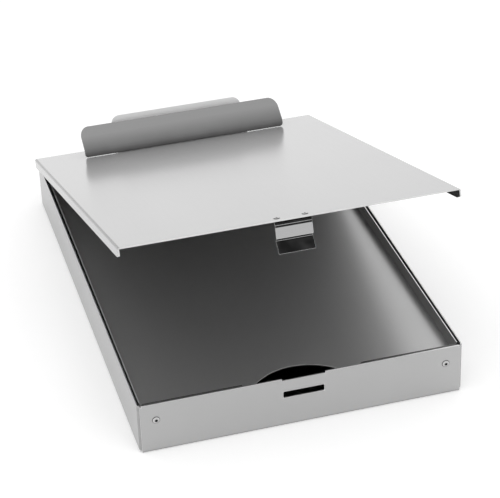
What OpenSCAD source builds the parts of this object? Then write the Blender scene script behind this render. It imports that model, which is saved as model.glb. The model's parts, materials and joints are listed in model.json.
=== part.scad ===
// Storage clipboard box: a shallow sheet aluminium box with a lift-up working tray and a
// hinged lid that is also the writing board, with a spring clip at its rear edge and a
// spring latch at its front edge. All sizes are in millimetres.
// The origin is the middle of the box's underside. X is the width, -Y the front, +Z up.
// The lid, its clip and its latch are laid out as if the lid were shut, then swung open.

/* [Box] */
// Width over the side walls
box_w = 236; // [210:1:270]
// Depth over the front and rear walls
box_d = 362; // [320:1:420]
// Height of the side walls and the front wall
box_h = 39.5; // [36:0.5:60]
// Thickness of the box and lid sheet
sheet = 1; // [0.8:0.05:1.2]
// Outer radius of each bend in the box and lid
bend_r = 1.5; // [1.3:0.1:2]
// Length of the tabs that turn in behind the front and rear walls
tab_l = 19; // [16:1:26]
// Distance from the top of a wall down to the top of its tabs
tab_drop = 1; // [0.5:0.1:2]
// Open corner left in the sheet where three bends meet
relief = 0.5; // [0.3:0.1:1]
// Width of the small notch in each top corner of the front and rear walls
corner_notch = 1.4; // [0.8:0.1:2]

/* [Latch slot] */
// Width of the slot in the front wall
slot_w = 29.8; // [28:0.1:36]
// Height of the slot
slot_h = 5.1; // [5:0.1:6]
// Distance from the top of the front wall down to the slot
slot_drop = 10.9; // [10.5:0.1:12]
// Corner radius of the slot
slot_r = 0.8; // [0.4:0.1:1.5]
// Width of the notch that lets the latch strap over the front wall
strap_notch_w = 31.6; // [28:0.1:40]
// Depth of that notch
strap_notch_h = 1.4; // [1.3:0.1:2]
// Distance of the latch and its slot from the middle of the box
latch_shift = 0.5; // [0:0.1:2]

/* [Corner rivets] */
// Distance from the side of the box in to each corner rivet
rivet_inset = 12.6; // [9:0.1:16]
// Distance from the top of the front wall down to its rivets
front_rivet_drop = 13.5; // [13.4:0.1:16]
// Height of the rear corner rivets over the underside
rear_rivet_z = 12; // [8:0.5:14]

/* [Working tray] */
// Thickness of the tray sheet
tray_sheet = 0.8; // [0.6:0.05:1]
// Outer radius of each bend in the tray
tray_bend_r = 1.2; // [1.1:0.1:1.6]
// Gap between tray and side wall at the front
tray_gap_front = 1.3; // [0.8:0.1:2]
// Gap between tray and side wall at the rear
tray_gap_rear = 2; // [0.8:0.1:3]
// Gap between the tray and the tabs of the front and rear walls
tray_gap_end = 0.6; // [0.4:0.1:1]
// Distance from the top of the side walls down to the rim of the tray
tray_rim_drop = 0.5; // [0.3:0.1:1]
// Height of the tray over its side flanges
tray_h = 10.9; // [9.5:0.1:11]
// Radius of the thumb cut in the tray floor
thumb_r = 41.4; // [36:0.1:44]
// Distance of the centre of the thumb cut ahead of the front wall
thumb_ahead = 13.6; // [10:0.1:18]
// Width of the stretch without a front flange
flange_gap_w = 86; // [78:1:100]

/* [Hinge] */
// Length of the three-leaf hinge
hinge_w = 216; // [190:1:216]
// Number of knuckles, shared in turn by box, tray and lid
knuckle_count = 19; // [10:3:25]
// Outer radius of the knuckles
knuckle_r = 1.7; // [1.7:0.05:2]
// Gap between neighbouring knuckles, and from each knuckle to the other leaves
knuckle_gap = 0.3; // [0.2:0.05:0.5]
// Radius of the hinge pin
pin_r = 0.8; // [0.7:0.05:0.85]
// Running clearance of a pin in its bore
pin_fit = 0.05; // [0.02:0.01:0.08]
// Thickness of the hinge leaves
leaf_t = 0.8; // [0.6:0.05:0.8]
// Length of the box leaf from the pin
box_leaf_length = 16; // [15:0.5:18]
// Length of the lid leaf from the pin
lid_leaf_length = 16; // [15:0.5:24]
// Length of the part of the tray leaf that stands against the tray's rear wall
tray_leaf_length = 6; // [5:0.1:6.2]

/* [Lid] */
// Angle at which the lid stands open
lid_open = 18.5; // [0:0.5:90]
// Gap between the shut lid and the top of the side walls
lid_gap = 0.3; // [0.2:0.05:0.5]
// Gap between the lid's flanges and the side walls
lid_side_gap = 0.7; // [0.4:0.1:1.5]
// How far the shut lid reaches past the front wall
lid_front_over = 3; // [2.5:0.1:4]
// How far the shut lid reaches back past the hinge pin
lid_rear_over = 0.3; // [0:0.1:1]
// Height of the lid's side flanges
lid_flange = 7.6; // [6:0.1:10]
// Height of the flange at its front end, above the slanted corner
flange_nose = 5.7; // [4:0.1:6]
// Length of the slanted corner
flange_run = 7; // [4:0.5:12]

/* [Latch] */
// Width of the latch strip
strip_w = 26.1; // [20:0.1:27]
// Thickness of the latch strip
strip_t = 0.8; // [0.6:0.05:0.8]
// Length of the strap under the lid, from the lid's front edge
strap_l = 14; // [11:0.5:20]
// Distance from the lid's front edge back to the leg of the latch
leg_back = 0.6; // [0.2:0.1:0.7]
// Outer radius of the bend between strap and leg
strip_bend_r = 2.2; // [1.4:0.1:2.4]
// Distance from the top of the slot down to the heel of the catch
heel_drop = 0.6; // [0.3:0.1:0.8]
// Distance from the top of the slot down to the tip of the catch
catch_drop = 2.4; // [2.2:0.1:2.5]
// How far the catch reaches in past the front wall
catch_in = 0.3; // [0:0.1:0.6]
// Length of the finger flap
flap_l = 9.8; // [8:0.1:12]
// Angle of the finger flap below level
flap_angle = 57; // [50:1:58]
// Distance between the two latch rivets
latch_rivet_gap = 19.8; // [14:0.1:20]
// Distance from the lid's front edge back to the latch rivets
latch_rivet_back = 6; // [6:0.1:7]
// Gap between the strap and the pieces that hold it
strap_fit = 0.05; // [0.02:0.01:0.1]

/* [Clip base] */
// Distance of the middle of the clip from the middle of the lid
clip_shift = 2.2; // [0:0.1:6]
// Thickness of the clip's sheet steel
clip_t = 1.2; // [1:0.05:1.4]
// Half the width of the base and its finger plate
base_half = 55.6; // [48:0.1:60]
// Distance from the lid's rear edge to the back of the finger plate
plate_back = 8.5; // [8:0.1:10]
// Height of the finger plate over the lid
plate_h = 27.2; // [25:0.1:30]
// Radius of the finger plate's top corners
plate_corner_r = 7; // [3:0.5:10]
// Distance from the lid's rear edge to the front of the foot
foot_front = 27; // [25:0.1:27.5]
// Outer radius of the bends in the base
base_bend_r = 2; // [1.6:0.1:2.2]
// Distance from the lid's rear edge to the pivot
pivot_back = 18; // [17.5:0.1:18.5]
// Height of the pivot over the lid
pivot_h = 9.8; // [9.4:0.1:10.2]
// Radius of the clip pin
clip_pin_r = 1.5; // [1.2:0.05:1.6]
// Radius of the ears round the pin
ear_r = 3.6; // [3:0.1:4]
// Width of an ear where it leaves the foot
ear_w = 12; // [10:0.5:14]

/* [Clip jaw] */
// Half the width of the jaw
jaw_half = 84.5; // [70:0.5:88]
// Corner radius at the lip
lip_corner_r = 3; // [1:0.1:4]
// Corner radius at the top
jaw_corner_r = 7.5; // [4:0.5:9]
// Outer radius of the rolled nose
nose_r = 5; // [4.6:0.1:5.4]
// Distance from the lid's rear edge to the centre of the nose
nose_back = 28.6; // [28.2:0.1:29.4]
// Gap between the lip and the lid
lip_gap = 0.25; // [0.2:0.05:0.4]
// How far the nose is rolled in under, measured from level
nose_roll = 48; // [40:1:60]
// Slope of the jaw's face
face_angle = 48; // [47:0.1:49]
// Length of the jaw's face above the nose
face_l = 21.6; // [20:0.1:22.4]
// Sideways gap between the ears of jaw and base
ear_gap = 0.3; // [0.2:0.05:0.5]

/* [Clip springs] */
// Radius of the spring wire
wire_r = 0.6; // [0.5:0.05:0.65]
// Radius of the coils, to the middle of the wire
coil_r = 2.5; // [2.4:0.05:2.7]
// Distance between neighbouring coils
coil_pitch = 1.7; // [1.7:0.05:2]
// Number of whole coils
coil_turns = 5; // [3:1:7]
// Slope of the leg that presses on the foot
foot_leg_angle = 35; // [30:1:38]
// Direction of the leg that lifts the jaw's upper end
jaw_leg_angle = 110; // [106:1:116]
// Gap between a spring leg and what it presses on
leg_fit = 0.05; // [0.02:0.01:0.1]

/* [Rivets] */
// Radius of the shank of the corner rivets
rivet_r = 1.5; // [1.2:0.1:1.6]
// Radius of their domed heads
rivet_head_r = 2.9; // [2.4:0.1:3.2]
// Height of their domed heads
rivet_head_h = 1.1; // [0.7:0.1:1.4]
// Radius of the pin hole in each head
rivet_eye_r = 0.8; // [0.5:0.05:1]
// Depth of that hole
rivet_eye_h = 0.5; // [0.3:0.05:0.6]
// Radius of their set tails
rivet_tail_r = 1.8; // [1.7:0.05:1.8]
// Length of their set tails
rivet_tail_h = 1.4; // [0.8:0.1:2]
// Radius of the shank of the hinge, latch and clip rivets
pin_rivet_r = 1.2; // [1:0.1:1.5]
// Radius of their low heads
low_head_r = 2.4; // [2:0.1:2.8]
// Height of their low heads
low_head_h = 0.7; // [0.5:0.05:0.9]
// Height of their set tails
low_tail_h = 0.5; // [0.3:0.05:0.6]
// Radius of their set tails
low_tail_r = 1.9; // [1.7:0.05:2]
// Clearance of a rivet in its hole
rivet_fit = 0.05; // [0.02:0.01:0.1]

/* [Hidden] */
$fn = 64;

aluminium = [0.8, 0.81, 0.82];
tray_grey = [0.72, 0.73, 0.75];
clip_grey = [0.58, 0.58, 0.6];
steel = [0.66, 0.67, 0.7];

// How far a cut runs past what it cuts
cut = 1;

// Box: the walls' outer faces and the ends of the bends
front_y = -box_d / 2;
rear_y = box_d / 2;
side_x = box_w / 2;
bend_x = side_x - bend_r;
wall_bend_y = rear_y - bend_r;
corner_bend_y = rear_y - sheet - bend_r;
corner_rivet_x = side_x - rivet_inset;
front_rivet_z = box_h - front_rivet_drop;
slot_top = box_h - slot_drop;

// Lid, shut: the sheet's two faces, its edges and the lower edge of its flanges
lid_z = box_h + lid_gap;
lid_top = lid_z + sheet;
lid_x = side_x + lid_side_gap + sheet;

// Hinge: the barrel stands behind the rear wall and touches the shut lid's underside
pin_y = rear_y + knuckle_r;
pin_z = lid_z - knuckle_r;
bore_r = pin_r + pin_fit;
leaf_clear = knuckle_r + knuckle_gap;
rear_wall_h = pin_z - leaf_clear;
knuckle_pitch = hinge_w / knuckle_count;
lid_front_y = front_y - lid_front_over;
lid_rear_y = pin_y + lid_rear_over;

// Tray: outer faces, rim and floor
tray_y = rear_y - 2 * sheet - tray_gap_end;
tray_front_x = side_x - sheet - tray_gap_front;
tray_rear_x = side_x - sheet - tray_gap_rear;
tray_rim_z = box_h - tray_rim_drop;
tray_z = tray_rim_z - tray_h;
tray_taper = atan((tray_front_x - tray_rear_x) / (2 * tray_y));
thumb_y = front_y - thumb_ahead;

// Tray leaf: it is tangent to the underside of the barrel and hooks over the tray's rear wall
leaf_bend_r = leaf_t * 3 / 2;
leaf_bend_in = leaf_bend_r - leaf_t;
leaf_bend_y = tray_y - tray_sheet + leaf_bend_in;
leaf_bend_z = pin_z - knuckle_r - leaf_bend_in;
tray_rear_h = leaf_bend_z - tray_z;

// Rivet rows, given as shares of half the hinge length, of half the clip base, or for the box
// leaf of half the row that fits between the tabs
box_rivet_shares = [-1, -3 / 5, -1 / 5, 1 / 5, 3 / 5, 1];
tray_rivet_shares = [-2 / 3, -1 / 3, 0, 1 / 3, 2 / 3];
clip_rear_shares = [-0.8, -0.3, 0.3, 0.8];
clip_front_shares = [-0.55, 0.55];
box_rivet_row = min(hinge_w / 2, bend_x - tab_l) - 2 * low_head_r;
box_leaf_rivet_z = pin_z - box_leaf_length * 3 / 4;
tray_leaf_rivet_z = leaf_bend_z - tray_leaf_length / 2;

// Clip, seen from the lid's rear edge: Y is negative towards the front, Z is up from the lid
pivot_y = -pivot_back;
clip_rear_row = (plate_back + pivot_back) / -2;
clip_front_row = clip_rear_row - (foot_front - plate_back) / 2;
jaw_ear_x = base_half - clip_t - ear_gap;
nose_z = nose_r * sin(nose_roll) + lip_gap;
nose_in = nose_r - clip_t;
jaw_top = nose_z + nose_r * cos(face_angle) + face_l * sin(face_angle);
jaw_ear_start = face_l * 0.3;
jaw_ear_end = face_l * 0.75;

// Latch: middle line of the strip, seen from the side with the lid shut
strip_mid = strip_t / 2;
leg_y = lid_front_y + leg_back + strip_mid;
strap_z = lid_z - strap_fit - strip_mid;
strip_bend_mid = strip_bend_r - strip_mid;
strip_bend_y = leg_y + strip_bend_mid;
strip_bend_z = strap_z - strip_bend_mid;
heel_z = slot_top - heel_drop;
catch_y = front_y + sheet + catch_in - strip_mid;
catch_z = slot_top - catch_drop;
latch_rivet_y = lid_front_y + latch_rivet_back;

// Plain shapes

// Turns a flat outline in Y and Z into a solid between two places on the X axis
module along_x(from, to) {
    translate([from, 0, 0]) rotate([90, 0, 90]) linear_extrude(to - from) children();
}

// Turns a flat outline in X and Z into a solid between two places on the Y axis
module along_y(from, to) {
    translate([0, to, 0]) rotate([90, 0, 0]) linear_extrude(to - from) children();
}

// The shape and its mirror image in X
module both_sides() {
    children();
    mirror([1, 0, 0]) children();
}

// Cross-section of a bend, in the first quadrant round its centre
module bend_ring(outer, inner) {
    intersection() {
        difference() {
            circle(outer);
            circle(inner);
        }
        square(outer);
    }
}

// Channel cross-section in X and Z: a flat floor with a bend and a wall at each end
module channel(half, height, radius, thick) {
    both_sides() {
        square([half - radius, thick]);
        translate([half - radius, radius]) mirror([0, 1]) bend_ring(radius, radius - thick);
        translate([half - thick, radius]) square([thick, height - radius]);
    }
}

// Upright outline in X and Z with its four corners rounded
module rounded_plate(half, low, top, low_r, top_r) {
    both_sides() {
        polygon([
            [0, low],
            [half - low_r, low],
            [half, low + low_r],
            [half, top - top_r],
            [half - top_r, top],
            [0, top]
        ]);
        translate([half - low_r, low + low_r]) circle(low_r);
        translate([half - top_r, top - top_r]) circle(top_r);
    }
}

// Rivet along Z: a domed head over the sheet's face at zero, its shank and its set tail below
module rivet(shank, head, head_h, grip, tail, tail_h, eye, eye_h) {
    dome_r = (head * head + head_h * head_h) / (2 * head_h);
    difference() {
        union() {
            intersection() {
                translate([0, 0, head_h - dome_r]) sphere(dome_r);
                cylinder(r = head, h = head_h);
            }
            translate([0, 0, -grip]) cylinder(r = shank, h = grip);
            translate([0, 0, -grip - tail_h]) cylinder(r = tail, h = tail_h);
        }
        translate([0, 0, head_h - eye_h]) cylinder(r = eye, h = eye_h + cut);
    }
}

// Corner rivet through a wall and its tab
module corner_rivet() {
    rivet(rivet_r, rivet_head_r, rivet_head_h, 2 * sheet, rivet_tail_r, rivet_tail_h,
        rivet_eye_r, rivet_eye_h);
}

// Low rivet of the hinge, the latch and the clip
module low_rivet(grip) {
    rivet(pin_rivet_r, low_head_r, low_head_h, grip, low_tail_r, low_tail_h,
        rivet_eye_r * low_head_h / rivet_head_h, low_head_h / 3);
}

// Hole for a rivet, along Z through everything near zero
module rivet_hole(shank, depth) {
    translate([0, 0, -depth]) cylinder(r = shank + rivet_fit, h = 2 * depth);
}

// Swings a piece that is laid out on the shut lid to where the open lid carries it
module on_lid() {
    translate([0, pin_y, pin_z]) rotate([-lid_open, 0, 0]) translate([0, -pin_y, -pin_z]) children();
}

// Places a piece of the clip on the lid
module on_clip() {
    on_lid() translate([clip_shift, lid_rear_y, lid_top]) children();
}

// Box

// One end of the box, as the front: the wall bent up from the floor, with the tabs of the
// side walls turned in behind it
module pan_end(wall_h) {
    notch_h = tab_drop + relief;
    along_x(-bend_x, bend_x) {
        translate([-wall_bend_y, 0]) square([wall_bend_y - corner_bend_y, sheet]);
        translate([-wall_bend_y, bend_r]) rotate(180) bend_ring(bend_r, bend_r - sheet);
        translate([-rear_y, bend_r]) square([sheet, wall_h - bend_r - notch_h]);
    }
    along_x(corner_notch - bend_x, bend_x - corner_notch)
        translate([-rear_y, wall_h - notch_h]) square([sheet, notch_h]);
    both_sides() {
        translate([bend_x, -corner_bend_y, bend_r + relief])
            linear_extrude(box_h - bend_r - relief)
                mirror([0, 1]) bend_ring(bend_r, bend_r - sheet);
        translate([bend_x - tab_l, -rear_y + sheet, bend_r + relief])
            cube([tab_l, sheet, wall_h - tab_drop - bend_r - relief]);
    }
}

module latch_openings() {
    along_y(front_y - cut, front_y + sheet + cut) {
        translate([latch_shift, -slot_h]) rounded_plate(slot_w / 2, slot_top,
            slot_top + slot_h, slot_r, slot_r);
        translate([latch_shift - strap_notch_w / 2, box_h - strap_notch_h])
            square([strap_notch_w, strap_notch_h + cut]);
    }
}

module box_pan() {
    color(aluminium) difference() {
        union() {
            along_y(-corner_bend_y, corner_bend_y) channel(side_x, box_h, bend_r, sheet);
            pan_end(box_h);
            mirror([0, 1, 0]) pan_end(rear_wall_h);
        }
        latch_openings();
        both_sides() {
            translate([corner_rivet_x, front_y, front_rivet_z]) rotate([90, 0, 0])
                rivet_hole(rivet_r, 2 * sheet + cut);
            translate([corner_rivet_x, rear_y, rear_rivet_z]) rotate([90, 0, 0])
                rivet_hole(rivet_r, 2 * sheet + cut);
        }
        for (share = box_rivet_shares)
            translate([share * box_rivet_row, rear_y, box_leaf_rivet_z]) rotate([90, 0, 0])
                rivet_hole(pin_rivet_r, sheet + cut);
    }
}

module front_rivet(side) {
    color(steel) translate([side * corner_rivet_x, front_y, front_rivet_z]) rotate([90, 0, 0])
        corner_rivet();
}

module rear_rivet(side) {
    color(steel) translate([side * corner_rivet_x, rear_y, rear_rivet_z]) rotate([-90, 0, 0])
        corner_rivet();
}

// Hinge

// Knuckles of one leaf round the pin, as solid rods along X
module knuckle_rods(turn, radius, stretch) {
    for (place = [turn : 3 : knuckle_count - 1])
        translate([place * knuckle_pitch - hinge_w / 2 + (knuckle_gap - stretch) / 2, 0, 0])
            rotate([0, 90, 0]) cylinder(r = radius, h = knuckle_pitch - knuckle_gap + stretch);
}

// Leaf whose plate is tangent to the top of the barrel and runs forward from it. Each of its
// knuckles has a neck, and between the necks the plate keeps clear of the other knuckles.
module leaf(turn, length) {
    difference() {
        union() {
            translate([-hinge_w / 2, -length, knuckle_r - leaf_t])
                cube([hinge_w, length - leaf_clear, leaf_t]);
            knuckle_rods(turn, knuckle_r, 0);
            for (place = [turn : 3 : knuckle_count - 1])
                translate([place * knuckle_pitch - hinge_w / 2 + knuckle_gap / 2, -leaf_clear,
                    knuckle_r - leaf_t])
                    cube([knuckle_pitch - knuckle_gap, leaf_clear, leaf_t]);
        }
        knuckle_rods(turn, bore_r, knuckle_gap);
    }
}

module box_hinge_leaf() {
    color(steel) difference() {
        translate([0, pin_y, pin_z]) rotate([90, 0, 0]) leaf(0, box_leaf_length);
        for (share = box_rivet_shares)
            translate([share * box_rivet_row, rear_y, box_leaf_rivet_z]) rotate([90, 0, 0])
                rivet_hole(pin_rivet_r, leaf_t + cut);
    }
}

module box_leaf_rivets() {
    color(steel) for (share = box_rivet_shares)
        translate([share * box_rivet_row, rear_y + leaf_t, box_leaf_rivet_z]) rotate([-90, 0, 0])
            low_rivet(sheet + leaf_t);
}

module hinge_pin() {
    color(steel) translate([(knuckle_gap - hinge_w) / 2, pin_y, pin_z]) rotate([0, 90, 0])
        cylinder(r = pin_r, h = hinge_w - knuckle_gap);
}

module tray_hinge_leaf() {
    color(steel) difference() {
        union() {
            translate([0, pin_y, pin_z]) mirror([0, 0, 1]) leaf(1, pin_y - leaf_bend_y);
            along_x(-hinge_w / 2, hinge_w / 2) {
                translate([leaf_bend_y, leaf_bend_z]) mirror([1, 0])
                    bend_ring(leaf_bend_r, leaf_bend_in);
                translate([leaf_bend_y - leaf_bend_r, leaf_bend_z - tray_leaf_length])
                    square([leaf_t, tray_leaf_length]);
            }
        }
        for (share = tray_rivet_shares)
            translate([share * hinge_w / 2, tray_y, tray_leaf_rivet_z]) rotate([90, 0, 0])
                rivet_hole(pin_rivet_r, 2 * cut + tray_sheet + leaf_t);
    }
}

module tray_leaf_rivets() {
    color(steel) for (share = tray_rivet_shares)
        translate([share * hinge_w / 2, tray_y - tray_sheet - leaf_t, tray_leaf_rivet_z])
            rotate([90, 0, 0]) low_rivet(tray_sheet + leaf_t);
}

module lid_hinge_leaf() {
    color(steel) on_lid() difference() {
        translate([0, pin_y, pin_z]) leaf(2, lid_leaf_length);
        clip_rivet_holes();
    }
}

// Working tray

// Flange and bend of the tray's right side, along its slightly slanted edge
module tray_side() {
    translate([tray_front_x, -tray_y, tray_z]) rotate([0, 0, tray_taper])
        along_y(2 * tray_bend_r, 2 * (tray_y - tray_bend_r)) {
            translate([-tray_sheet, tray_bend_r]) square([tray_sheet, tray_h - tray_bend_r]);
            translate([-tray_bend_r, tray_bend_r]) mirror([0, 1])
                bend_ring(tray_bend_r, tray_bend_r - tray_sheet);
            translate([-2 * tray_bend_r, 0]) square([tray_bend_r, tray_sheet]);
        }
}

// Cross-section in Y and Z of a tray end, as the front one, with its wall of the given height
module tray_end_outline(height) {
    translate([-tray_y, tray_bend_r]) square([tray_sheet, height - tray_bend_r]);
    translate([tray_bend_r - tray_y, tray_bend_r]) rotate(180)
        bend_ring(tray_bend_r, tray_bend_r - tray_sheet);
}

module working_tray() {
    floor_y = tray_y - tray_bend_r;
    floor_front_x = tray_front_x - tray_bend_r * 3 / 2;
    floor_rear_x = tray_rear_x - tray_bend_r * 3 / 2;
    color(tray_grey) difference() {
        union() {
            translate([0, 0, tray_z]) linear_extrude(tray_sheet) polygon([
                [-floor_front_x, -floor_y],
                [floor_front_x, -floor_y],
                [floor_rear_x, floor_y],
                [-floor_rear_x, floor_y]
            ]);
            both_sides() {
                tray_side();
                translate([0, 0, tray_z]) along_x(flange_gap_w / 2, floor_front_x)
                    tray_end_outline(tray_h);
            }
            translate([0, 0, tray_z]) mirror([0, 1, 0]) along_x(-floor_rear_x, floor_rear_x)
                tray_end_outline(tray_rear_h);
        }
        translate([0, thumb_y, tray_z - cut]) cylinder(r = thumb_r, h = tray_sheet + 2 * cut);
        for (share = tray_rivet_shares)
            translate([share * hinge_w / 2, tray_y, tray_leaf_rivet_z]) rotate([90, 0, 0])
                rivet_hole(pin_rivet_r, tray_sheet + cut);
    }
}

// Lid

// The slanted corner at the front end of both flanges, to be cut away
module flange_corner_cut() {
    low = lid_top - lid_flange;
    nose = lid_top - flange_nose;
    along_x(-lid_x - cut, lid_x + cut) polygon([
        [lid_front_y - cut, low - cut],
        [lid_front_y + flange_run, low - cut],
        [lid_front_y + flange_run, low],
        [lid_front_y, nose],
        [lid_front_y - cut, nose]
    ]);
}

module lid_plate() {
    color(aluminium) on_lid() difference() {
        along_y(lid_front_y, lid_rear_y) translate([0, lid_top]) mirror([0, 1])
            channel(lid_x, lid_flange, bend_r, sheet);
        flange_corner_cut();
        clip_rivet_holes();
        translate([latch_shift, latch_rivet_y, lid_top]) both_sides()
            translate([latch_rivet_gap / 2, 0, 0]) rivet_hole(pin_rivet_r, sheet + cut);
    }
}

// Latch

module latch_rivet(side) {
    color(steel) on_lid() translate([latch_shift + side * latch_rivet_gap / 2, latch_rivet_y, lid_top])
        low_rivet(sheet + strip_t + 2 * strap_fit);
}

// A straight stretch of strip from one point of its middle line to the next, with round ends
module strip_stretch(from, to) {
    run = to - from;
    translate(from) {
        rotate(atan2(run[1], run[0])) translate([0, -strip_mid]) square([norm(run), strip_t]);
        circle(strip_mid);
    }
    translate(to) circle(strip_mid);
}

// Side outline of the latch: strap, bend, leg, the catch that enters the slot, finger flap
module latch_outline() {
    strap_end_y = lid_front_y + strap_l;
    flap_end = [catch_y - flap_l * cos(flap_angle), catch_z - flap_l * sin(flap_angle)];
    translate([strip_bend_y, strap_z - strip_mid]) square([strap_end_y - strip_bend_y, strip_t]);
    translate([strip_bend_y, strip_bend_z]) mirror([1, 0])
        bend_ring(strip_bend_r, strip_bend_r - strip_t);
    translate([leg_y - strip_mid, heel_z]) square([strip_t, strip_bend_z - heel_z]);
    strip_stretch([leg_y, heel_z], [catch_y, catch_z]);
    strip_stretch([catch_y, catch_z], flap_end);
}

module latch_spring() {
    color(steel) on_lid() difference() {
        along_x(latch_shift - strip_w / 2, latch_shift + strip_w / 2) latch_outline();
        translate([latch_shift, latch_rivet_y, strap_z]) both_sides()
            translate([latch_rivet_gap / 2, 0, 0]) rivet_hole(pin_rivet_r, strip_t);
    }
}

// Clip

// Places something at each rivet of the clip's foot, with the lid shut. The rear row also
// holds the lid leaf, which the flag says.
module at_clip_rivets(rear) {
    shares = rear ? clip_rear_shares : clip_front_shares;
    row = rear ? clip_rear_row : clip_front_row;
    for (share = shares)
        translate([clip_shift + share * base_half, lid_rear_y + row, lid_top + clip_t]) children();
}

module clip_rivet_holes() {
    at_clip_rivets(true) rivet_hole(pin_rivet_r, clip_t + sheet + leaf_t + cut);
    at_clip_rivets(false) rivet_hole(pin_rivet_r, clip_t + sheet + cut);
}

module clip_rivets() {
    color(steel) on_lid() {
        at_clip_rivets(true) low_rivet(clip_t + sheet + leaf_t);
        at_clip_rivets(false) low_rivet(clip_t + sheet);
    }
}

// Side outline of a base ear: as wide as its bend at the foot, tapering to round the pin
module base_ear_outline() {
    translate([pivot_y - ear_w / 2, 0]) square([ear_w, base_bend_r]);
    polygon([
        [pivot_y - ear_w / 2, base_bend_r],
        [pivot_y + ear_w / 2, base_bend_r],
        [pivot_y + ear_r, pivot_h],
        [pivot_y - ear_r, pivot_h]
    ]);
    translate([pivot_y, pivot_h]) circle(ear_r);
}

// Pressed base: a foot on the lid, a finger plate turned up behind it, an ear at each end
module clip_base() {
    color(clip_grey) difference() {
        on_clip() difference() {
            union() {
                along_x(base_bend_r - base_half, base_half - base_bend_r) {
                    translate([-foot_front, 0])
                        square([foot_front - plate_back - base_bend_r, clip_t]);
                    translate([-plate_back - base_bend_r, base_bend_r]) mirror([0, 1])
                        bend_ring(base_bend_r, base_bend_r - clip_t);
                }
                along_y(-plate_back - clip_t, -plate_back)
                    rounded_plate(base_half, base_bend_r, plate_h, base_bend_r, plate_corner_r);
                intersection() {
                    along_y(-foot_front, -plate_back)
                        channel(base_half, pivot_h + ear_r, base_bend_r, clip_t);
                    along_x(-base_half - cut, base_half + cut) base_ear_outline();
                }
            }
            translate([-base_half - cut, pivot_y, pivot_h]) rotate([0, 90, 0])
                cylinder(r = clip_pin_r, h = 2 * (base_half + cut));
        }
        on_lid() clip_rivet_holes();
    }
}

module clip_pin() {
    color(steel) on_clip() translate([-base_half, pivot_y, pivot_h]) rotate([0, 90, 0])
        cylinder(r = clip_pin_r, h = 2 * base_half);
}

// A point of the jaw's face, by its distance up the face and its distance from the nose centre
function face_point(up, out) = [
    -nose_back + up * cos(face_angle) - out * sin(face_angle),
    nose_z + up * sin(face_angle) + out * cos(face_angle)
];

// Side outline of the jaw sheet: the rolled nose, then the straight face up to the top edge
module jaw_outline() {
    nose_start = 90;
    nose_end = 180 + nose_roll - face_angle;
    nose_middle = (nose_start + nose_end) / 2;
    translate([-nose_back, nose_z]) rotate(face_angle) {
        intersection() {
            difference() {
                circle(nose_r);
                circle(nose_in);
            }
            polygon([
                [0, 0],
                [0, 2 * nose_r],
                2 * nose_r * [cos(nose_middle), sin(nose_middle)],
                2 * nose_r * [cos(nose_end), sin(nose_end)]
            ]);
        }
        translate([0, nose_in]) square([face_l, clip_t]);
    }
}

// Side outline of a jaw ear: from the middle of the face sheet down round the pin
module jaw_ear_outline() {
    across = [cos(face_angle), sin(face_angle)] * ear_r;
    polygon([
        [pivot_y, pivot_h] - across,
        [pivot_y, pivot_h] + across,
        face_point(jaw_ear_end, nose_r - clip_t / 2),
        face_point(jaw_ear_start, nose_r - clip_t / 2)
    ]);
    translate([pivot_y, pivot_h]) circle(ear_r);
}

module clip_jaw() {
    color(clip_grey) on_clip() difference() {
        union() {
            intersection() {
                along_x(-jaw_half - cut, jaw_half + cut) jaw_outline();
                along_y(-nose_back - 2 * nose_r, 0)
                    rounded_plate(jaw_half, 0, jaw_top, lip_corner_r, jaw_corner_r);
            }
            both_sides() along_x(jaw_ear_x - clip_t, jaw_ear_x) jaw_ear_outline();
        }
        translate([-jaw_ear_x - cut, pivot_y, pivot_h]) rotate([0, 90, 0])
            cylinder(r = clip_pin_r + pin_fit, h = 2 * (jaw_ear_x + cut));
    }
}

// Clip springs

// Angles round the pin at which the wire leaves the coil for the foot and for the jaw
coil_start = foot_leg_angle - 90;
coil_end = coil_turns * 360 + jaw_leg_angle - 90;
coil_x = base_half - 2 * clip_t - 2 * ear_gap - wire_r;
rings_per_turn = 8;
wire_sides = 6;
coil_rings = round((coil_end - coil_start) / 360 * rings_per_turn);

// Distance from the pin out to the underside of the jaw's face
face_out = (nose_back - pivot_back) * sin(face_angle) + (nose_z - pivot_h) * cos(face_angle) + nose_in;
foot_leg_l = (pivot_h - clip_t - wire_r - leg_fit - coil_r * cos(foot_leg_angle)) / sin(foot_leg_angle);
jaw_leg_l = (face_out - wire_r - leg_fit - coil_r * sin(jaw_leg_angle - 90 - face_angle))
    / cos(jaw_leg_angle - 90 - face_angle);

// Middle line of the wire round the pin, at an angle in degrees from level
function coil_point(angle) = [
    coil_x - (angle - coil_start) / 360 * coil_pitch,
    pivot_y + coil_r * cos(angle),
    pivot_h + coil_r * sin(angle)
];

// A point on the straight leg that leaves the coil at an angle
function leg_point(angle, length) = coil_point(angle) + length * [0, -sin(angle), cos(angle)];

spring_path = concat(
    [leg_point(coil_start, -foot_leg_l), leg_point(coil_start, -foot_leg_l / 2)],
    [for (ring = [0 : coil_rings]) coil_point(coil_start + (coil_end - coil_start) * ring / coil_rings)],
    [leg_point(coil_end, jaw_leg_l / 2), leg_point(coil_end, jaw_leg_l)]
);
path_last = len(spring_path) - 1;

function path_direction(i) = let (
    run = spring_path[min(i + 1, path_last)] - spring_path[max(i - 1, 0)]
) run / norm(run);

function wire_ring(i) = let (
    ahead = path_direction(i),
    aside = cross(ahead, [1, 0, 0]),
    normal = aside / norm(aside),
    binormal = cross(ahead, normal)
) [for (side = [0 : wire_sides - 1])
    spring_path[i] + wire_r * (cos(360 * side / wire_sides) * normal
        + sin(360 * side / wire_sides) * binormal)];

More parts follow.
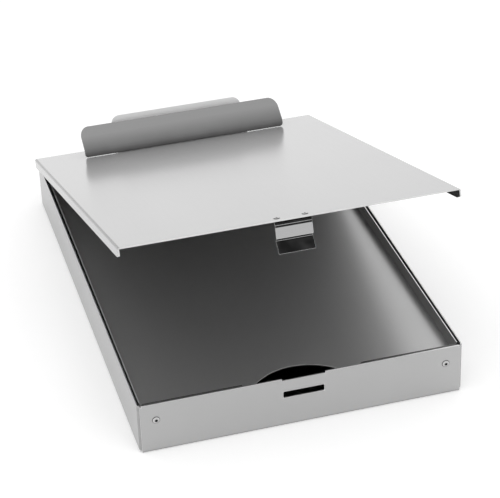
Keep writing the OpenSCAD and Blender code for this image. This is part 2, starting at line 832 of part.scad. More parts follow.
spring_points = [for (i = [0 : path_last]) each wire_ring(i)];
spring_faces = concat(
    [for (i = [0 : path_last - 1], side = [0 : wire_sides - 1])
        let (next = (side + 1) % wire_sides, here = i * wire_sides, there = here + wire_sides)
        [here + side, there + side, there + next]],
    [for (i = [0 : path_last - 1], side = [0 : wire_sides - 1])
        let (next = (side + 1) % wire_sides, here = i * wire_sides, there = here + wire_sides)
        [here + side, there + next, here + next]],
    [for (side = [1 : wire_sides - 2]) [0, side, side + 1]],
    [for (side = [1 : wire_sides - 2])
        let (end = path_last * wire_sides) [end, end + side + 1, end + side]]
);

// Least gap of the wire to itself, between middle points more than half a coil apart
spring_gap = min([for (i = [0 : path_last], j = [i + rings_per_turn / 2 + 1 : path_last])
    norm(spring_path[i] - spring_path[j])]) - 2 * wire_r;
echo("least gap of the spring wire to itself", spring_gap);

module clip_spring() {
    color(steel) polyhedron(points = spring_points, faces = spring_faces, convexity = 4);
}

box_pan();
front_rivet(-1);  // front_rivet_left
front_rivet(1);  // front_rivet_right
rear_rivet(-1);  // rear_rivet_left
rear_rivet(1);  // rear_rivet_right
box_hinge_leaf();
box_leaf_rivets();
hinge_pin();
working_tray();
tray_hinge_leaf();
tray_leaf_rivets();
lid_plate();
lid_hinge_leaf();
latch_rivet(-1);  // latch_rivet_left
latch_rivet(1);  // latch_rivet_right
clip_base();
clip_rivets();
clip_pin();
on_clip() mirror([1, 0, 0]) clip_spring();  // clip_spring_left
on_clip() clip_spring();  // clip_spring_right
latch_spring();
clip_jaw();
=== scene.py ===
"""Looks of the storage clipboard box: folded sheets, springs, rivets, studio and camera.

Every piece is folded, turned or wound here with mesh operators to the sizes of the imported
model, and replaces its node. Sizes in the classes are millimetres, and a finished mesh is
brought to metres when it is placed. A sheet starts as its outer skin, gets its bends, then
its thickness, and last the eased edges that catch the light.
"""

import json
import logging
import math
from dataclasses import dataclass, replace
from enum import Enum
from typing import Any, Callable, Iterable, Sequence

import bmesh
import bpy
from bmesh.types import BMEdge, BMesh, BMFace, BMVert
from bpy.types import Material, Mesh, Node, NodeSocket, NodeTree, Object
from mathutils import Matrix, Vector
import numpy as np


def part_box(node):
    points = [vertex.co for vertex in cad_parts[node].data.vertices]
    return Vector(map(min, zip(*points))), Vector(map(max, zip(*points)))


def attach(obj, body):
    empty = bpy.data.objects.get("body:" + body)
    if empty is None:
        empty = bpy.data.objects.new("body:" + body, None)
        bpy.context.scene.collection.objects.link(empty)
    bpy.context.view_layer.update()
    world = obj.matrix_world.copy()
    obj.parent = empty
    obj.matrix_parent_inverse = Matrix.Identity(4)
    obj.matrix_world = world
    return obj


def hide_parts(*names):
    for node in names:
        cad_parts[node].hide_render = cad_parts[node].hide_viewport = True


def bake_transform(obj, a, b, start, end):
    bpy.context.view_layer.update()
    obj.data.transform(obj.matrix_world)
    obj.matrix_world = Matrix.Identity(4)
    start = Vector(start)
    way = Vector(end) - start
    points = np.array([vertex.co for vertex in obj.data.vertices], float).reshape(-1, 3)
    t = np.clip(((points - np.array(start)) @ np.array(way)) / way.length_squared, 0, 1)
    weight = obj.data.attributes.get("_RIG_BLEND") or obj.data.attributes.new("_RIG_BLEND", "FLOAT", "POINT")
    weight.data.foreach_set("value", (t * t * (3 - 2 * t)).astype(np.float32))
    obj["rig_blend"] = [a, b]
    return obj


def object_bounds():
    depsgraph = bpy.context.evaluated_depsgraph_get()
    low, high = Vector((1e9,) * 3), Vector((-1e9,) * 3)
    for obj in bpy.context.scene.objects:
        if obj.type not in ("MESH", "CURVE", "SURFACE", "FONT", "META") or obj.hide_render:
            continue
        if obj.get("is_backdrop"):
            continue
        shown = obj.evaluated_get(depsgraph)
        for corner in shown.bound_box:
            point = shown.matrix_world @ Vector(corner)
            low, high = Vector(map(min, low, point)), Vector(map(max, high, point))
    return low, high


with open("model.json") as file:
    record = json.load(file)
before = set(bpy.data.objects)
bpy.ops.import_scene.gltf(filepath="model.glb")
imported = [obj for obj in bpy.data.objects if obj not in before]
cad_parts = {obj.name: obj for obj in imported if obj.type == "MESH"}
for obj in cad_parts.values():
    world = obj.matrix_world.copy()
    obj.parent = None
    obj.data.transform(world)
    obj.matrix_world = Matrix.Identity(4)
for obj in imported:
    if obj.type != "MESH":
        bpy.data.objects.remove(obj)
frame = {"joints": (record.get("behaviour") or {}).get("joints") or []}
cad_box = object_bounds()

log = logging.getLogger("clipboard_box")

Span = tuple[float, float]
Place = Sequence[float]

MM = 0.001

# A reach that takes in everything, and what counts as one place on a sheet and on turned work
FAR = 1e6
HAIR = 0.012
SPECK = 0.001

# Edges that turn by more than the first are eased, and by less than the second are flat
SHARP = math.radians(32)
FLAT = math.radians(1)

# A bend stops just short of its full radius, so that its strips stay clear of the next edge
BEND_SHARE = 0.998

QUARTER = math.pi / 2
RIGHT, UP = Vector((1, 0, 0)), Vector((0, 0, 1))


def moved(x: float, y: float, z: float) -> Matrix:
    """Gives the matrix that moves a piece."""
    return Matrix.Translation((x, y, z))


def turned(angle: float, axis: str = "X") -> Matrix:
    """Gives the matrix that turns a piece about an axis through zero."""
    return Matrix.Rotation(angle, 4, axis)


def spoke(angle: float) -> Vector:
    """Gives the direction at an angle in the side view, from Y towards Z."""
    return Vector((0, math.cos(angle), math.sin(angle)))


# The lid stands open about the hinge pin by this angle
LID_OPEN = math.radians(18.5)
PIN = Vector((0.0, 182.7, 38.1))
AT_PIN = Matrix.Translation(PIN)
ON_BOX = Matrix.Scale(MM, 4)
ON_LID = ON_BOX @ AT_PIN @ turned(-LID_OPEN) @ Matrix.Translation(-PIN)

# The clip's zero is on the lid at its rear edge, and its pivot is given as Y and Z from there
ON_CLIP = ON_LID @ moved(2.2, 183.0, 40.8)
CLIP_PIVOT = (-18.0, 9.8)


class Grain(Enum):
    """The axis along which the rolling or drawing lines of a metal run."""

    ALONG_X = 0
    ALONG_Y = 1
    EVEN = None


class Mark(Enum):
    """Kinds of place on a metal surface that look different, held in a loop attribute: worn edges, bends
    with painted dark reflection, painted shade.
    """

    EDGE = "edge_wear"
    # Bends: darker for stretched grain, and a painted dark reflection along them
    BEND = "bend_marks"
    # Painted shade and painted dark reflections, not a coating of the metal
    COAT = "dark_coat"


def grey(srgb: float) -> tuple[float, float, float, float]:
    """Gives the linear colour of a grey from the sRGB level that it should show."""
    level = srgb / 12.92 if srgb <= 0.04045 else ((srgb + 0.055) / 1.055) ** 2.4
    return level, level, level, 1.0


def of_kind(geom: Iterable[Any], kind: type) -> list[Any]:
    """Picks the vertices, edges or faces out of mixed geometry."""
    return [part for part in geom if isinstance(part, kind)]


def both_sides(right: Sequence[Span], z: float = 0.0) -> list[Vector]:
    """Completes the right half of a flat outline with its left half, at a height."""
    left = [(-x, y) for x, y in reversed(right)]
    return [Vector((x, y, z)) for x, y in (*right, *left)]


def to_mesh(bm: BMesh, name: str) -> Mesh:
    """Turns work in the making into a mesh.

    Args:
        bm: the work, which is used up.
        name: the mesh's name.

    Returns:
        The mesh.
    """
    mesh = bpy.data.meshes.new(name)
    bm.to_mesh(mesh)
    bm.free()
    return mesh


def add_object(name: str, data: Any) -> Object:
    """Adds an object to the scene.

    Args:
        name: its name.
        data: its mesh, light or camera data.

    Returns:
        The object.
    """
    made = bpy.data.objects.new(name, data)
    bpy.context.scene.collection.objects.link(made)
    return made


# Shader nodes


def feed(tree: NodeTree, entry: NodeSocket, source: Any) -> None:
    """Links a socket to a node's input, or sets the input.

    Args:
        tree: the node tree.
        entry: the input.
        source: the socket or the value that it gets.
    """
    if isinstance(source, NodeSocket):
        tree.links.new(source, entry)
    else:
        entry.default_value = source


def add_node(tree: NodeTree, kind: str, **values: Any) -> Node:
    """Adds a shader node and gives it its properties and inputs.

    Args:
        tree: the node tree.
        kind: the node's type name, without its first word.
        values: properties, or inputs with underscores for spaces, each a value or a socket.

    Returns:
        The new node.
    """
    node = tree.nodes.new(f"ShaderNode{kind}")
    for key, value in values.items():
        if hasattr(node, key):
            setattr(node, key, value)
        else:
            feed(tree, node.inputs[key.replace("_", " ")], value)
    return node


def reckon(tree: NodeTree, operation: str, *terms: Any, clamp: bool = False) -> NodeSocket:
    """Adds a sum of numbers and sockets.

    Args:
        tree: the node tree.
        operation: what is done with the terms.
        terms: a number or a socket each, in the node's order.
        clamp: whether the result is kept between 0 and 1.

    Returns:
        The result's socket.
    """
    node = add_node(tree, "Math", operation=operation, use_clamp=clamp)
    for entry, term in zip(node.inputs, terms):
        feed(tree, entry, term)
    return node.outputs["Value"]


def layer(tree: NodeTree, under: Any, tone: float, strength: NodeSocket) -> NodeSocket:
    """Lays a grey over a colour, as much of it as the strength says."""
    mix = add_node(tree, "Mix", data_type="RGBA", Factor=strength, A=under, B=grey(tone))
    return mix.outputs["Result"]


def start_group(
    name: str, number: str, default: float, *outputs: str
) -> tuple[NodeTree, Node, Node]:
    """Makes an empty node group that takes a place and one number.

    Args:
        name: the group's name.
        number: the number's name.
        default: its value where a finish gives none.
        outputs: names of the numbers that the group puts out.

    Returns:
        The group, its input node and its output node.
    """
    tree = bpy.data.node_groups.new(name, "ShaderNodeTree")
    tree.interface.new_socket("Vector", in_out="INPUT", socket_type="NodeSocketVector")
    entry = tree.interface.new_socket(number, in_out="INPUT", socket_type="NodeSocketFloat")
    entry.default_value = default
    for output in outputs:
        tree.interface.new_socket(output, in_out="OUTPUT", socket_type="NodeSocketFloat")
    return tree, tree.nodes.new("NodeGroupInput"), tree.nodes.new("NodeGroupOutput")


def start_material(name: str) -> tuple[Material, NodeTree, Node]:
    """Makes a material with its plain shader.

    Args:
        name: the material's name.

    Returns:
        The material, its nodes and its shader.
    """
    material = bpy.data.materials.new(name)
    material.use_nodes = True
    return material, material.node_tree, material.node_tree.nodes["Principled BSDF"]


class EffectShelf:
    """The shader node groups that the finishes share, made once."""

    def __init__(self) -> None:
        """Makes all the groups."""
        self.grain = self.rolled_grain()
        self.handling = self.handling_marks()
        self.places = {
            Mark.EDGE: self.marked_places(Mark.EDGE, patch_scale=160.0, thinnest=0.55),
            Mark.BEND: self.marked_places(Mark.BEND, patch_scale=420.0, thinnest=0.6),
            Mark.COAT: self.marked_places(Mark.COAT, patch_scale=60.0, thinnest=0.92),
        }

    @staticmethod
    def rolled_grain() -> NodeTree:
        """Makes fine lines left by rolling, with broader, softer bands under them.

        Returns:
            A group that puts out the height of the lines and a slow tone variation.
        """
        tree, given, out = start_group("rolled_grain", "Lines", 900.0, "Height", "Tone")
        place, lines = given.outputs["Vector"], given.outputs["Lines"]
        fine = add_node(tree, "TexNoise", Vector=place, Scale=lines, Detail=3.0, Roughness=0.6)
        broad = add_node(tree, "TexNoise", Vector=place, Scale=14.0, Detail=2.0, Roughness=0.5)
        broad_share, fine_share = 0.65, 0.35
        bands = reckon(tree, "MULTIPLY", broad.outputs["Fac"], broad_share)
        tone = reckon(tree, "MULTIPLY_ADD", fine.outputs["Fac"], fine_share, bands)
        feed(tree, out.inputs["Height"], fine.outputs["Fac"])
        feed(tree, out.inputs["Tone"], tone)
        return tree

    @staticmethod
    def handling_marks() -> NodeTree:
        """Makes faint cloudy marks of handling.

        Returns:
            A group that puts out a mark strength from 0 to 1.
        """
        tree, given, out = start_group("handling_marks", "Size", 9.0, "Marks")
        place, size = given.outputs["Vector"], given.outputs["Size"]
        cloud = add_node(tree, "TexNoise", Vector=place, Scale=size, Detail=4.0, Roughness=0.55)
        feed(tree, cloud.inputs["Distortion"], 0.4)
        clouds = cloud.outputs["Fac"]
        shape = add_node(tree, "MapRange", Value=clouds, From_Min=0.42, From_Max=0.72)
        feed(tree, out.inputs["Marks"], shape.outputs["Result"])
        return tree

    @staticmethod
    def marked_places(mark: Mark, patch_scale: float, thinnest: float) -> NodeTree:
        """Makes the strength of a marked place, a little uneven.

        Args:
            mark: which attribute of the mesh it reads.
            patch_scale: how fine the unevenness is.
            thinnest: the share that is left where the effect is thinnest.

        Returns:
            A group that puts out the strength from 0 to 1.
        """
        tree, given, out = start_group(mark.value, "Amount", 0.6, "Strength")
        place = add_node(tree, "Attribute", attribute_name=mark.value).outputs["Fac"]
        spot = given.outputs["Vector"]
        patches = add_node(tree, "TexNoise", Vector=spot, Scale=patch_scale, Detail=2.0)
        patch = add_node(tree, "MapRange", Value=patches.outputs["Fac"], To_Min=thinnest)
        feed(tree, patch.inputs["From Min"], 0.3)
        feed(tree, patch.inputs["From Max"], 0.6)
        amount = reckon(tree, "MULTIPLY", place, given.outputs["Amount"])
        strength = reckon(tree, "MULTIPLY", amount, patch.outputs["Result"])
        feed(tree, out.inputs["Strength"], strength)
        return tree


@dataclass(frozen=True)
class MetalFinish:
    """A metal surface: its tone, gloss, grain, handling marks, worn edges, bends with a painted dark
    reflection, and painted shade.

    Tones are sRGB levels, and line_height is in millimetres.
    """

    name: str
    slot: str
    tone: float
    roughness: float
    grain: Grain = Grain.EVEN
    tilt: float = 0.0
    metallic: float = 1.0
    lines: float = 1400.0
    stretch: float = 50.0
    line_height: float = 0.02
    grain_depth: float = 0.04
    grain_tone: float = 0.025
    relief: float = 0.06
    marks: float = 0.03
    edge_tone: float = 0.95
    edge_wear: float = 0.6
    bend_tone: float = 0.6
    bend_amount: float = 0.5
    # Tone and strength of the painted shade, and how it changes the roughness there
    shade_tone: float = 0.13
    shade_amount: float = 1.0
    shade_gloss: float = -0.1

    def grain_size(self) -> list[float]:
        """Gives the size that draws the noise out along the grain."""
        return [self.stretch if axis == self.grain.value else 1.0 for axis in range(3)]

    def material(self, shelf: EffectShelf) -> Material:
        """Builds the procedural material, or finds the one already built.

        Args:
            shelf: the shared effect groups.

        Returns:
            The finished material.
        """
        known = bpy.data.materials.get(self.name)
        if known:
            return known
        material, tree, shader = start_material(self.name)
        shader.inputs["Metallic"].default_value = self.metallic
        place = add_node(tree, "TexCoord").outputs["Object"]
        along = add_node(tree, "Mapping", vector_type="TEXTURE", Vector=place)
        along.inputs["Rotation"].default_value = (self.tilt, 0.0, 0.0)
        along.inputs["Scale"].default_value = self.grain_size()
        grain = add_node(tree, "Group", node_tree=shelf.grain, Lines=self.lines)
        feed(tree, grain.inputs["Vector"], along.outputs["Vector"])
        height, slow = grain.outputs["Height"], grain.outputs["Tone"]
        handling = add_node(tree, "Group", node_tree=shelf.handling, Vector=place)

        # Slow change of tone across the sheet, then bends with their painted dark reflection, painted shade
        # and rubbed edges
        low, high = self.tone - self.grain_tone, self.tone + self.grain_tone
        colour = layer(tree, grey(low), high, slow)
        strength = {}
        for mark, amount, tone in (
            (Mark.BEND, self.bend_amount, self.bend_tone),
            (Mark.COAT, self.shade_amount, self.shade_tone),
            (Mark.EDGE, self.edge_wear, self.edge_tone),
        ):
            group = shelf.places[mark]
            effect = add_node(tree, "Group", node_tree=group, Vector=place, Amount=amount)
            strength[mark] = effect.outputs["Strength"]
            colour = layer(tree, colour, tone, strength[mark])

        # Roughness follows the grain, the handling marks and the places of painted shade
        low, high = self.roughness - self.grain_depth, self.roughness + self.grain_depth
        rough = add_node(tree, "MapRange", Value=height, To_Min=low, To_Max=high).outputs["Result"]
        rough = reckon(tree, "MULTIPLY_ADD", handling.outputs["Marks"], self.marks, rough)
        shade_strength = strength[Mark.COAT]
        rough = reckon(tree, "MULTIPLY_ADD", shade_strength, self.shade_gloss, rough, clamp=True)

        rise = self.line_height * MM
        bump = add_node(tree, "Bump", Strength=self.relief, Distance=rise, Height=height)
        feed(tree, shader.inputs["Base Color"], colour)
        feed(tree, shader.inputs["Roughness"], rough)
        feed(tree, shader.inputs["Normal"], bump.outputs["Normal"])
        return material


# Metalwork: what folds, turns and winds the pieces


@dataclass(frozen=True)
class Zone:
    """A box in space that picks edges or faces, flat where a side is a single number."""

    x: float | Span = (-FAR, FAR)
    y: float | Span = (-FAR, FAR)
    z: float | Span = (-FAR, FAR)

    def holds(self, *points: Vector) -> bool:
        """Tells whether all the points lie in the zone, within a hair."""
        spans = [s if isinstance(s, tuple) else (s, s) for s in (self.x, self.y, self.z)]
        return all(
            low - HAIR <= value <= high + HAIR
            for point in points
            for value, (low, high) in zip(point, spans)
        )


class MetalWork:
    """A piece in the making, in millimetres, with the attributes that its finish reads."""

    even_shading = False

    def __init__(self) -> None:
        """Starts with an empty mesh."""
        self.bm = bmesh.new()
        self.layers = {mark: self.bm.loops.layers.float.new(mark.value) for mark in Mark}
        self.rim = self.bm.faces.layers.int.new("rim")

    def note(
        self,
        faces: Iterable[BMFace],
        mark: Mark,
        strength: float | Callable[[Vector], float] = 1.0,
    ) -> None:
        """Marks faces.

        Args:
            faces: the faces.
            mark: what they are marked as.
            strength: from 0 to 1, or what gives it at a place.
        """
        for loop in (loop for face in faces for loop in face.loops):
            level = strength(loop.vert.co) if callable(strength) else strength
            loop[self.layers[mark]] = level

    def edges_in(self, zone: Zone) -> list[BMEdge]:
        """Lists the edges that lie wholly in a zone."""
        return [e for e in self.bm.edges if zone.holds(*(v.co for v in e.verts))]

    def faces_in(self, zone: Zone) -> list[BMFace]:
        """Lists the faces that lie wholly in a zone."""
        return [f for f in self.bm.faces if zone.holds(*(v.co for v in f.verts))]

    def path(self, points: Iterable[Place]) -> list[BMVert]:
        """Joins points by edges.

        Args:
            points: the points in order.

        Returns:
            The vertices.
        """
        verts = [self.bm.verts.new(point) for point in points]
        for pair in zip(verts, verts[1:]):
            self.bm.edges.new(pair)
        return verts

    def draw(self, edges: Sequence[BMEdge], by: Place) -> list[BMEdge]:
        """Draws new faces out of open edges.

        Args:
            edges: the edges they start from.
            by: how far and which way they go.

        Returns:
            The edges at their far end.
        """
        if not edges:
            raise ValueError("no edges to draw from")
        made = bmesh.ops.extrude_edge_only(self.bm, edges=edges)["geom"]
        new = of_kind(made, BMVert)
        bmesh.ops.translate(self.bm, vec=by, verts=new)
        return [e for e in of_kind(made, BMEdge) if all(v in new for v in e.verts)]

    def spin(
        self, geom: Sequence[Any], centre: Place, axis: Place, angle: float, steps: int, **more: Any
    ) -> list[Any]:
        """Draws vertices and edges round a line.

        Args:
            geom: the vertices and edges.
            centre: a point of the line.
            axis: the line's direction.
            angle: how far they turn, in radians.
            steps: number of steps.
            more: use_merge closes a full turn, and dvec moves every step on.

        Returns:
            What lies at the end of the turn.
        """
        settings = {"cent": centre, "axis": axis, "angle": angle, "steps": steps, **more}
        return bmesh.ops.spin(self.bm, geom=geom, **settings)["geom_last"]

    def round_edges(self, edges: Sequence[BMEdge], width: float, segments: int) -> list[BMFace]:
        """Bevels edges round.

        Args:
            edges: the edges.
            width: how far the rounding reaches along each face.
            segments: number of strips in the rounding.

        Returns:
            The new faces.
        """
        if not edges:
            raise ValueError("no edges to round")
        made = bmesh.ops.bevel(
            self.bm,
            geom=edges,
            offset=width,
            offset_type="OFFSET",
            segments=segments,
            profile=0.5,
            affect="EDGES",
            clamp_overlap=False,
            material=-1,
        )
        return made["faces"]

    def weld(self, distance: float = HAIR) -> None:
        """Merges vertices that lie at one place."""
        bmesh.ops.remove_doubles(self.bm, verts=self.bm.verts[:], dist=distance)

    def face_out(self) -> None:
        """Turns the faces outwards."""
        bmesh.ops.recalc_face_normals(self.bm, faces=self.bm.faces[:])

    def ease(self, width: float, segments: int = 3) -> None:
        """Rounds every sharp edge a little and marks the rounding as a place of wear."""
        sharp = [e for e in self.bm.edges if e.is_manifold and e.calc_face_angle(0.0) > SHARP]
        self.note(self.round_edges(sharp, width, segments), Mark.EDGE)

    def transform(self, matrix: Matrix) -> None:
        """Moves, turns or scales all of it."""
        bmesh.ops.transform(self.bm, matrix=matrix, verts=self.bm.verts[:])

    def take(self, other: "MetalWork") -> None:
        """Adds another piece of work to this one and uses it up.

        Args:
            other: the work that is added.
        """
        mesh = to_mesh(other.bm, "carried")
        self.bm.from_mesh(mesh)
        bpy.data.meshes.remove(mesh)
        self.layers = {mark: self.bm.loops.layers.float[mark.value] for mark in Mark}
        self.rim = self.bm.faces.layers.int["rim"]

    def mirror(self, keep: bool) -> None:
        """Mirrors the shape from left to right, with its faces turned outwards again.

        Args:
            keep: whether the shape itself stays beside its mirror image.
        """
        geom = [*self.bm.verts, *self.bm.edges, *self.bm.faces]
        if keep:
            geom = bmesh.ops.duplicate(self.bm, geom=geom)["geom"]
        bmesh.ops.scale(self.bm, vec=(-1, 1, 1), verts=of_kind(geom, BMVert))
        bmesh.ops.reverse_faces(self.bm, faces=of_kind(geom, BMFace))

    def piece(self, node: str, finish: MetalFinish, shelf: EffectShelf, placed: Matrix) -> Object:
        """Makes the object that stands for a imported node.

        Args:
            node: the node's name.
            finish: what the piece is finished in.
            shelf: the shared effect groups.
            placed: brings it from the work's millimetres to its place in metres.

        Returns:
            The object.
        """
        self.transform(placed)
        for face in self.bm.faces:
            face.smooth = True
        mesh = to_mesh(self.bm, f"{node}_made")
        mesh.materials.append(finish.material(shelf))
        made = add_object(f"{node}_made", mesh)
        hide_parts(node)
        if self.even_shading:
            even = made.modifiers.new("even_shading", "WEIGHTED_NORMAL")
            even.mode = "FACE_AREA"
            even.weight = 50
        log.info("%s: %d faces", made.name, len(mesh.polygons))
        return made


class SheetWork(MetalWork):
    """Folded sheet metal, from its outer skin, with even shading on its flats and bends."""

    even_shading = True

    def skin(self, corners: Sequence[Place]) -> None:
        """Lays a flat face with the given corners, in order."""
        self.bm.faces.new([self.bm.verts.new(corner) for corner in corners])

    def bend(self, edges: Sequence[BMEdge], radius: float, segments: int = 8) -> None:
        """Gives folds of one angle their outer radius and marks the bends.

        Args:
            edges: the folds.
            radius: the radius on this skin.
            segments: number of strips round the bend.
        """
        angle = edges[0].calc_face_angle(0.0)
        width = radius * math.tan(angle / 2) * BEND_SHARE
        self.note(self.round_edges(edges, width, segments), Mark.BEND)

    def cut(self, faces: Sequence[BMFace], at: Vector, across: Vector, trim: bool) -> None:
        """Cuts faces along a plane, and with trim removes what lies beyond it.

        Args:
            faces: the faces.
            at: a point of the plane.
            across: the plane's normal, which points at what a trim removes.
            trim: whether that is removed.
        """
        geom = dict.fromkeys(part for f in faces for part in (f, *f.edges, *f.verts))
        bmesh.ops.bisect_plane(
            self.bm,
            geom=list(geom),
            dist=HAIR / 4,
            plane_co=at,
            plane_no=across,
            clear_outer=trim,
        )

    def score(self, zone: Zone, axis: Vector, *places: float) -> None:
        """Cuts the faces in a zone across an axis, at places along it, and keeps all of them."""
        for place in places:
            self.cut(self.faces_in(zone), axis * place, axis, trim=False)

    def trim(self, at: Vector, outwards: Vector) -> None:
        """Cuts off what lies beyond a plane."""
        self.cut(self.bm.faces[:], at, outwards, trim=True)

    def trim_corner(self, centre: Vector, radius: float, start: float, steps: int = 7) -> None:
        """Rounds a corner of the outline in X and Z by cuts that touch its arc.

        Args:
            centre: the middle of the arc.
            radius: its radius.
            start: the angle from X towards Z at which the quarter arc starts, in radians.
            steps: number of cuts.
        """
        for step in range(steps):
            angle = start + QUARTER * (step + 0.5) / steps
            outwards = Vector((math.cos(angle), 0, math.sin(angle)))
            self.trim(centre + outwards * radius, outwards)

    def join_flats(self) -> None:
        """Joins neighbouring faces that lie in one plane."""
        self.weld()
        verts, edges = self.bm.verts[:], self.bm.edges[:]
        bmesh.ops.dissolve_limit(self.bm, angle_limit=FLAT, verts=verts, edges=edges)

    def drop(self, zone: Zone) -> None:
        """Removes the faces that lie in a zone."""
        bmesh.ops.delete(self.bm, geom=self.faces_in(zone), context="FACES")

    def thicken(self, thickness: float, outwards: Vector) -> None:
        """Gives the skin its thickness, on the side away from its outer face.

        Args:
            thickness: the sheet's thickness.
            outwards: which way its outer face looks on the whole.
        """
        self.weld()
        self.face_out()
        if sum(f.calc_area() * f.normal.dot(outwards) for f in self.bm.faces) < 0:
            bmesh.ops.reverse_faces(self.bm, faces=self.bm.faces[:])
        skin = set(self.bm.verts)
        bmesh.ops.solidify(self.bm, geom=self.bm.faces[:], thickness=thickness)
        for face in self.bm.faces:
            kept = sum(v in skin for v in face.verts)
            face[self.rim] = int(0 < kept < len(face.verts))
        self.face_out()
        self.note(self.rim_faces(), Mark.EDGE)

    def rim_faces(self) -> list[BMFace]:
        """Lists the faces along the sheet's cut edges."""
        return [face for face in self.bm.faces if face[self.rim]]

    def round_corners(self, zone: Zone, radius: float, segments: int = 8) -> None:
        """Rounds corners of the sheet's outline, through its thickness.

        Args:
            zone: where the corners are.
            radius: their radius.
            segments: number of strips round each.
        """
        corners = [
            edge
            for edge in self.edges_in(zone)
            if edge.is_manifold
            and all(face[self.rim] for face in edge.link_faces)
            and edge.calc_face_angle(0.0) > SHARP
        ]
        width = radius * math.tan(corners[0].calc_face_angle(0.0) / 2)
        for face in self.round_edges(corners, width, segments):
            face[self.rim] = 1


class TurnedWork(MetalWork):
    """A turned piece: a profile spun about the Z axis."""

    def __init__(self, profile: Iterable[Span], segments: int = 32) -> None:
        """Spins the profile.

        Args:
            profile: pairs of radius and height, in order.
            segments: number of strips round the piece.
        """
        super().__init__()
        verts = self.path((radius, 0.0, height) for radius, height in profile)
        geom = [*verts, *self.bm.edges]
        self.spin(geom, (0, 0, 0), UP, 2 * math.pi, segments, use_merge=True)
        self.weld(SPECK)
        self.face_out()

    @classmethod
    def rod(cls, radius: float, start: float, end: float, segments: int) -> "TurnedWork":
        """Turns a plain rod between two heights."""
        return cls([(0.0, start), (radius, start), (radius, end), (0.0, end)], segments)


class WireWork(MetalWork):
    """Round wire, drawn on from its end ring."""

    def __init__(self, radius: float, start: Vector, ahead: Vector, sides: int = 10) -> None:
        """Starts the wire with a closed end.

        Args:
            radius: the wire's radius.
            start: where the middle of its end lies.
            ahead: which way the wire goes.
            sides: number of sides round the wire.
        """
        super().__init__()
        facing = ahead.to_track_quat("Z", "X").to_matrix().to_4x4()
        end = Matrix.Translation(start) @ facing
        bmesh.ops.create_circle(self.bm, cap_ends=True, segments=sides, radius=radius, matrix=end)
        self.ring = self.bm.edges[:]

    def straight(self, run: Vector) -> None:
        """Draws a straight stretch as long as the run and in its direction."""
        self.ring = self.draw(self.ring, run)

    def coil(self, centre: Vector, turns: float, pitch: float, per_turn: int = 18) -> None:
        """Winds the wire about a line along X.

        Args:
            centre: a point of the line.
            turns: number of turns.
            pitch: how far a whole turn moves along X.
            per_turn: number of rings in a turn.
        """
        steps = round(turns * per_turn)
        verts = dict.fromkeys(v for e in self.ring for v in e.verts)
        geom, onwards = [*verts, *self.ring], (pitch * turns / steps, 0, 0)
        last = self.spin(geom, centre, RIGHT, 2 * math.pi * turns, steps, dvec=onwards)
        self.ring = of_kind(last, BMEdge)

    def close(self) -> None:
        """Closes the wire's far end and turns its faces outwards."""
        bmesh.ops.edgeloop_fill(self.bm, edges=self.ring)
        self.weld(SPECK)
        self.face_out()


# The pieces, by the body they move with


@dataclass
class SubAssembly:
    """Pieces that move together on one body."""

    shelf: EffectShelf
    body: str

    def mount(self, work: MetalWork, node: str, finish: MetalFinish, placed: Matrix) -> None:
        """Finishes a piece, puts it in its node's place and lets it move with the body."""
        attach(work.piece(node, finish, self.shelf, placed), self.body)


@dataclass(frozen=True)
class Rivet:
    """A rivet set along Z: a domed head over the sheet at zero, shank and tail below."""

    head_r: float
    head_h: float
    shank_r: float
    tail_r: float
    tail_h: float
    eye_r: float
    eye_h: float
    eye_rise: float = 0.12
    eye_floor: float = 0.8
    eye_lip: float = 1.05
    dome_rings: tuple[float, ...] = (0.0, 0.3, 0.55, 0.75, 0.87, 1.0)
    # Width of the painted shade round the foot of the head
    shade_ring: float = 0.5
    eased: float = 0.1

    def work(self, grip: float) -> TurnedWork:
        """Turns the rivet.

        Args:
            grip: thickness of what it holds.

        Returns:
            The rivet, with painted shade on its foot ring and in the hole in its head.
        """
        dome_r = (self.head_r**2 + self.head_h**2) / (2 * self.head_h)
        middle = self.head_h - dome_r
        rings = [self.eye_r + (self.head_r - self.eye_r) * share for share in self.dome_rings]
        dome = [(ring, middle + math.sqrt(dome_r**2 - ring**2)) for ring in rings]
        rim = dome[0][1]
        floor, tail = rim - self.eye_h, -grip - self.tail_h
        eye = [(0.0, floor + self.eye_rise), (self.eye_r * self.eye_floor, floor)]
        shank = [(self.shank_r, 0.0), (self.shank_r, -grip), (self.tail_r, -grip)]
        rivet = TurnedWork([*eye, *dome, *shank, (self.tail_r, tail), (0.0, tail)])
        # Painted shade in the hole of the head and round its foot
        rivet.note(rivet.bm.faces, Mark.COAT, lambda place: self.painted_shade_at(place, rim))
        rivet.ease(self.eased)
        return rivet

    def painted_shade_at(self, place: Vector, rim: float) -> float:
        """Gives how much painted shade a place of the head gets.

        Args:
            place: the place, in the rivet's own millimetres.
            rim: height of the rim of the head's hole.

        Returns:
            From 0, unshaded, to 1, fully painted dark.
        """
        out = math.hypot(place.x, place.y)
        in_eye = out < self.eye_r * self.eye_lip and place.z > 0
        on_ring = place.z < rim and self.head_r - self.shade_ring < out < self.head_r + HAIR
        return float(in_eye or on_ring)

    def row(self, spots: Iterable[tuple[Matrix, float]]) -> MetalWork:
        """Sets a row of rivets as one piece of work.

        Args:
            spots: the place of each rivet and the thickness that it holds.

        Returns:
            All of them.
        """
        whole = MetalWork()
        for place, grip in spots:
            rivet = self.work(grip)
            rivet.transform(place)
            whole.take(rivet)
        return whole


CORNER_RIVET = Rivet(
    head_r=2.9, head_h=1.1, shank_r=1.5, tail_r=1.8, tail_h=1.4, eye_r=0.8, eye_h=0.5
)
LOW_RIVET = Rivet(
    head_r=2.4, head_h=0.7, shank_r=1.2, tail_r=1.9, tail_h=0.5, eye_r=0.509, eye_h=0.233
)

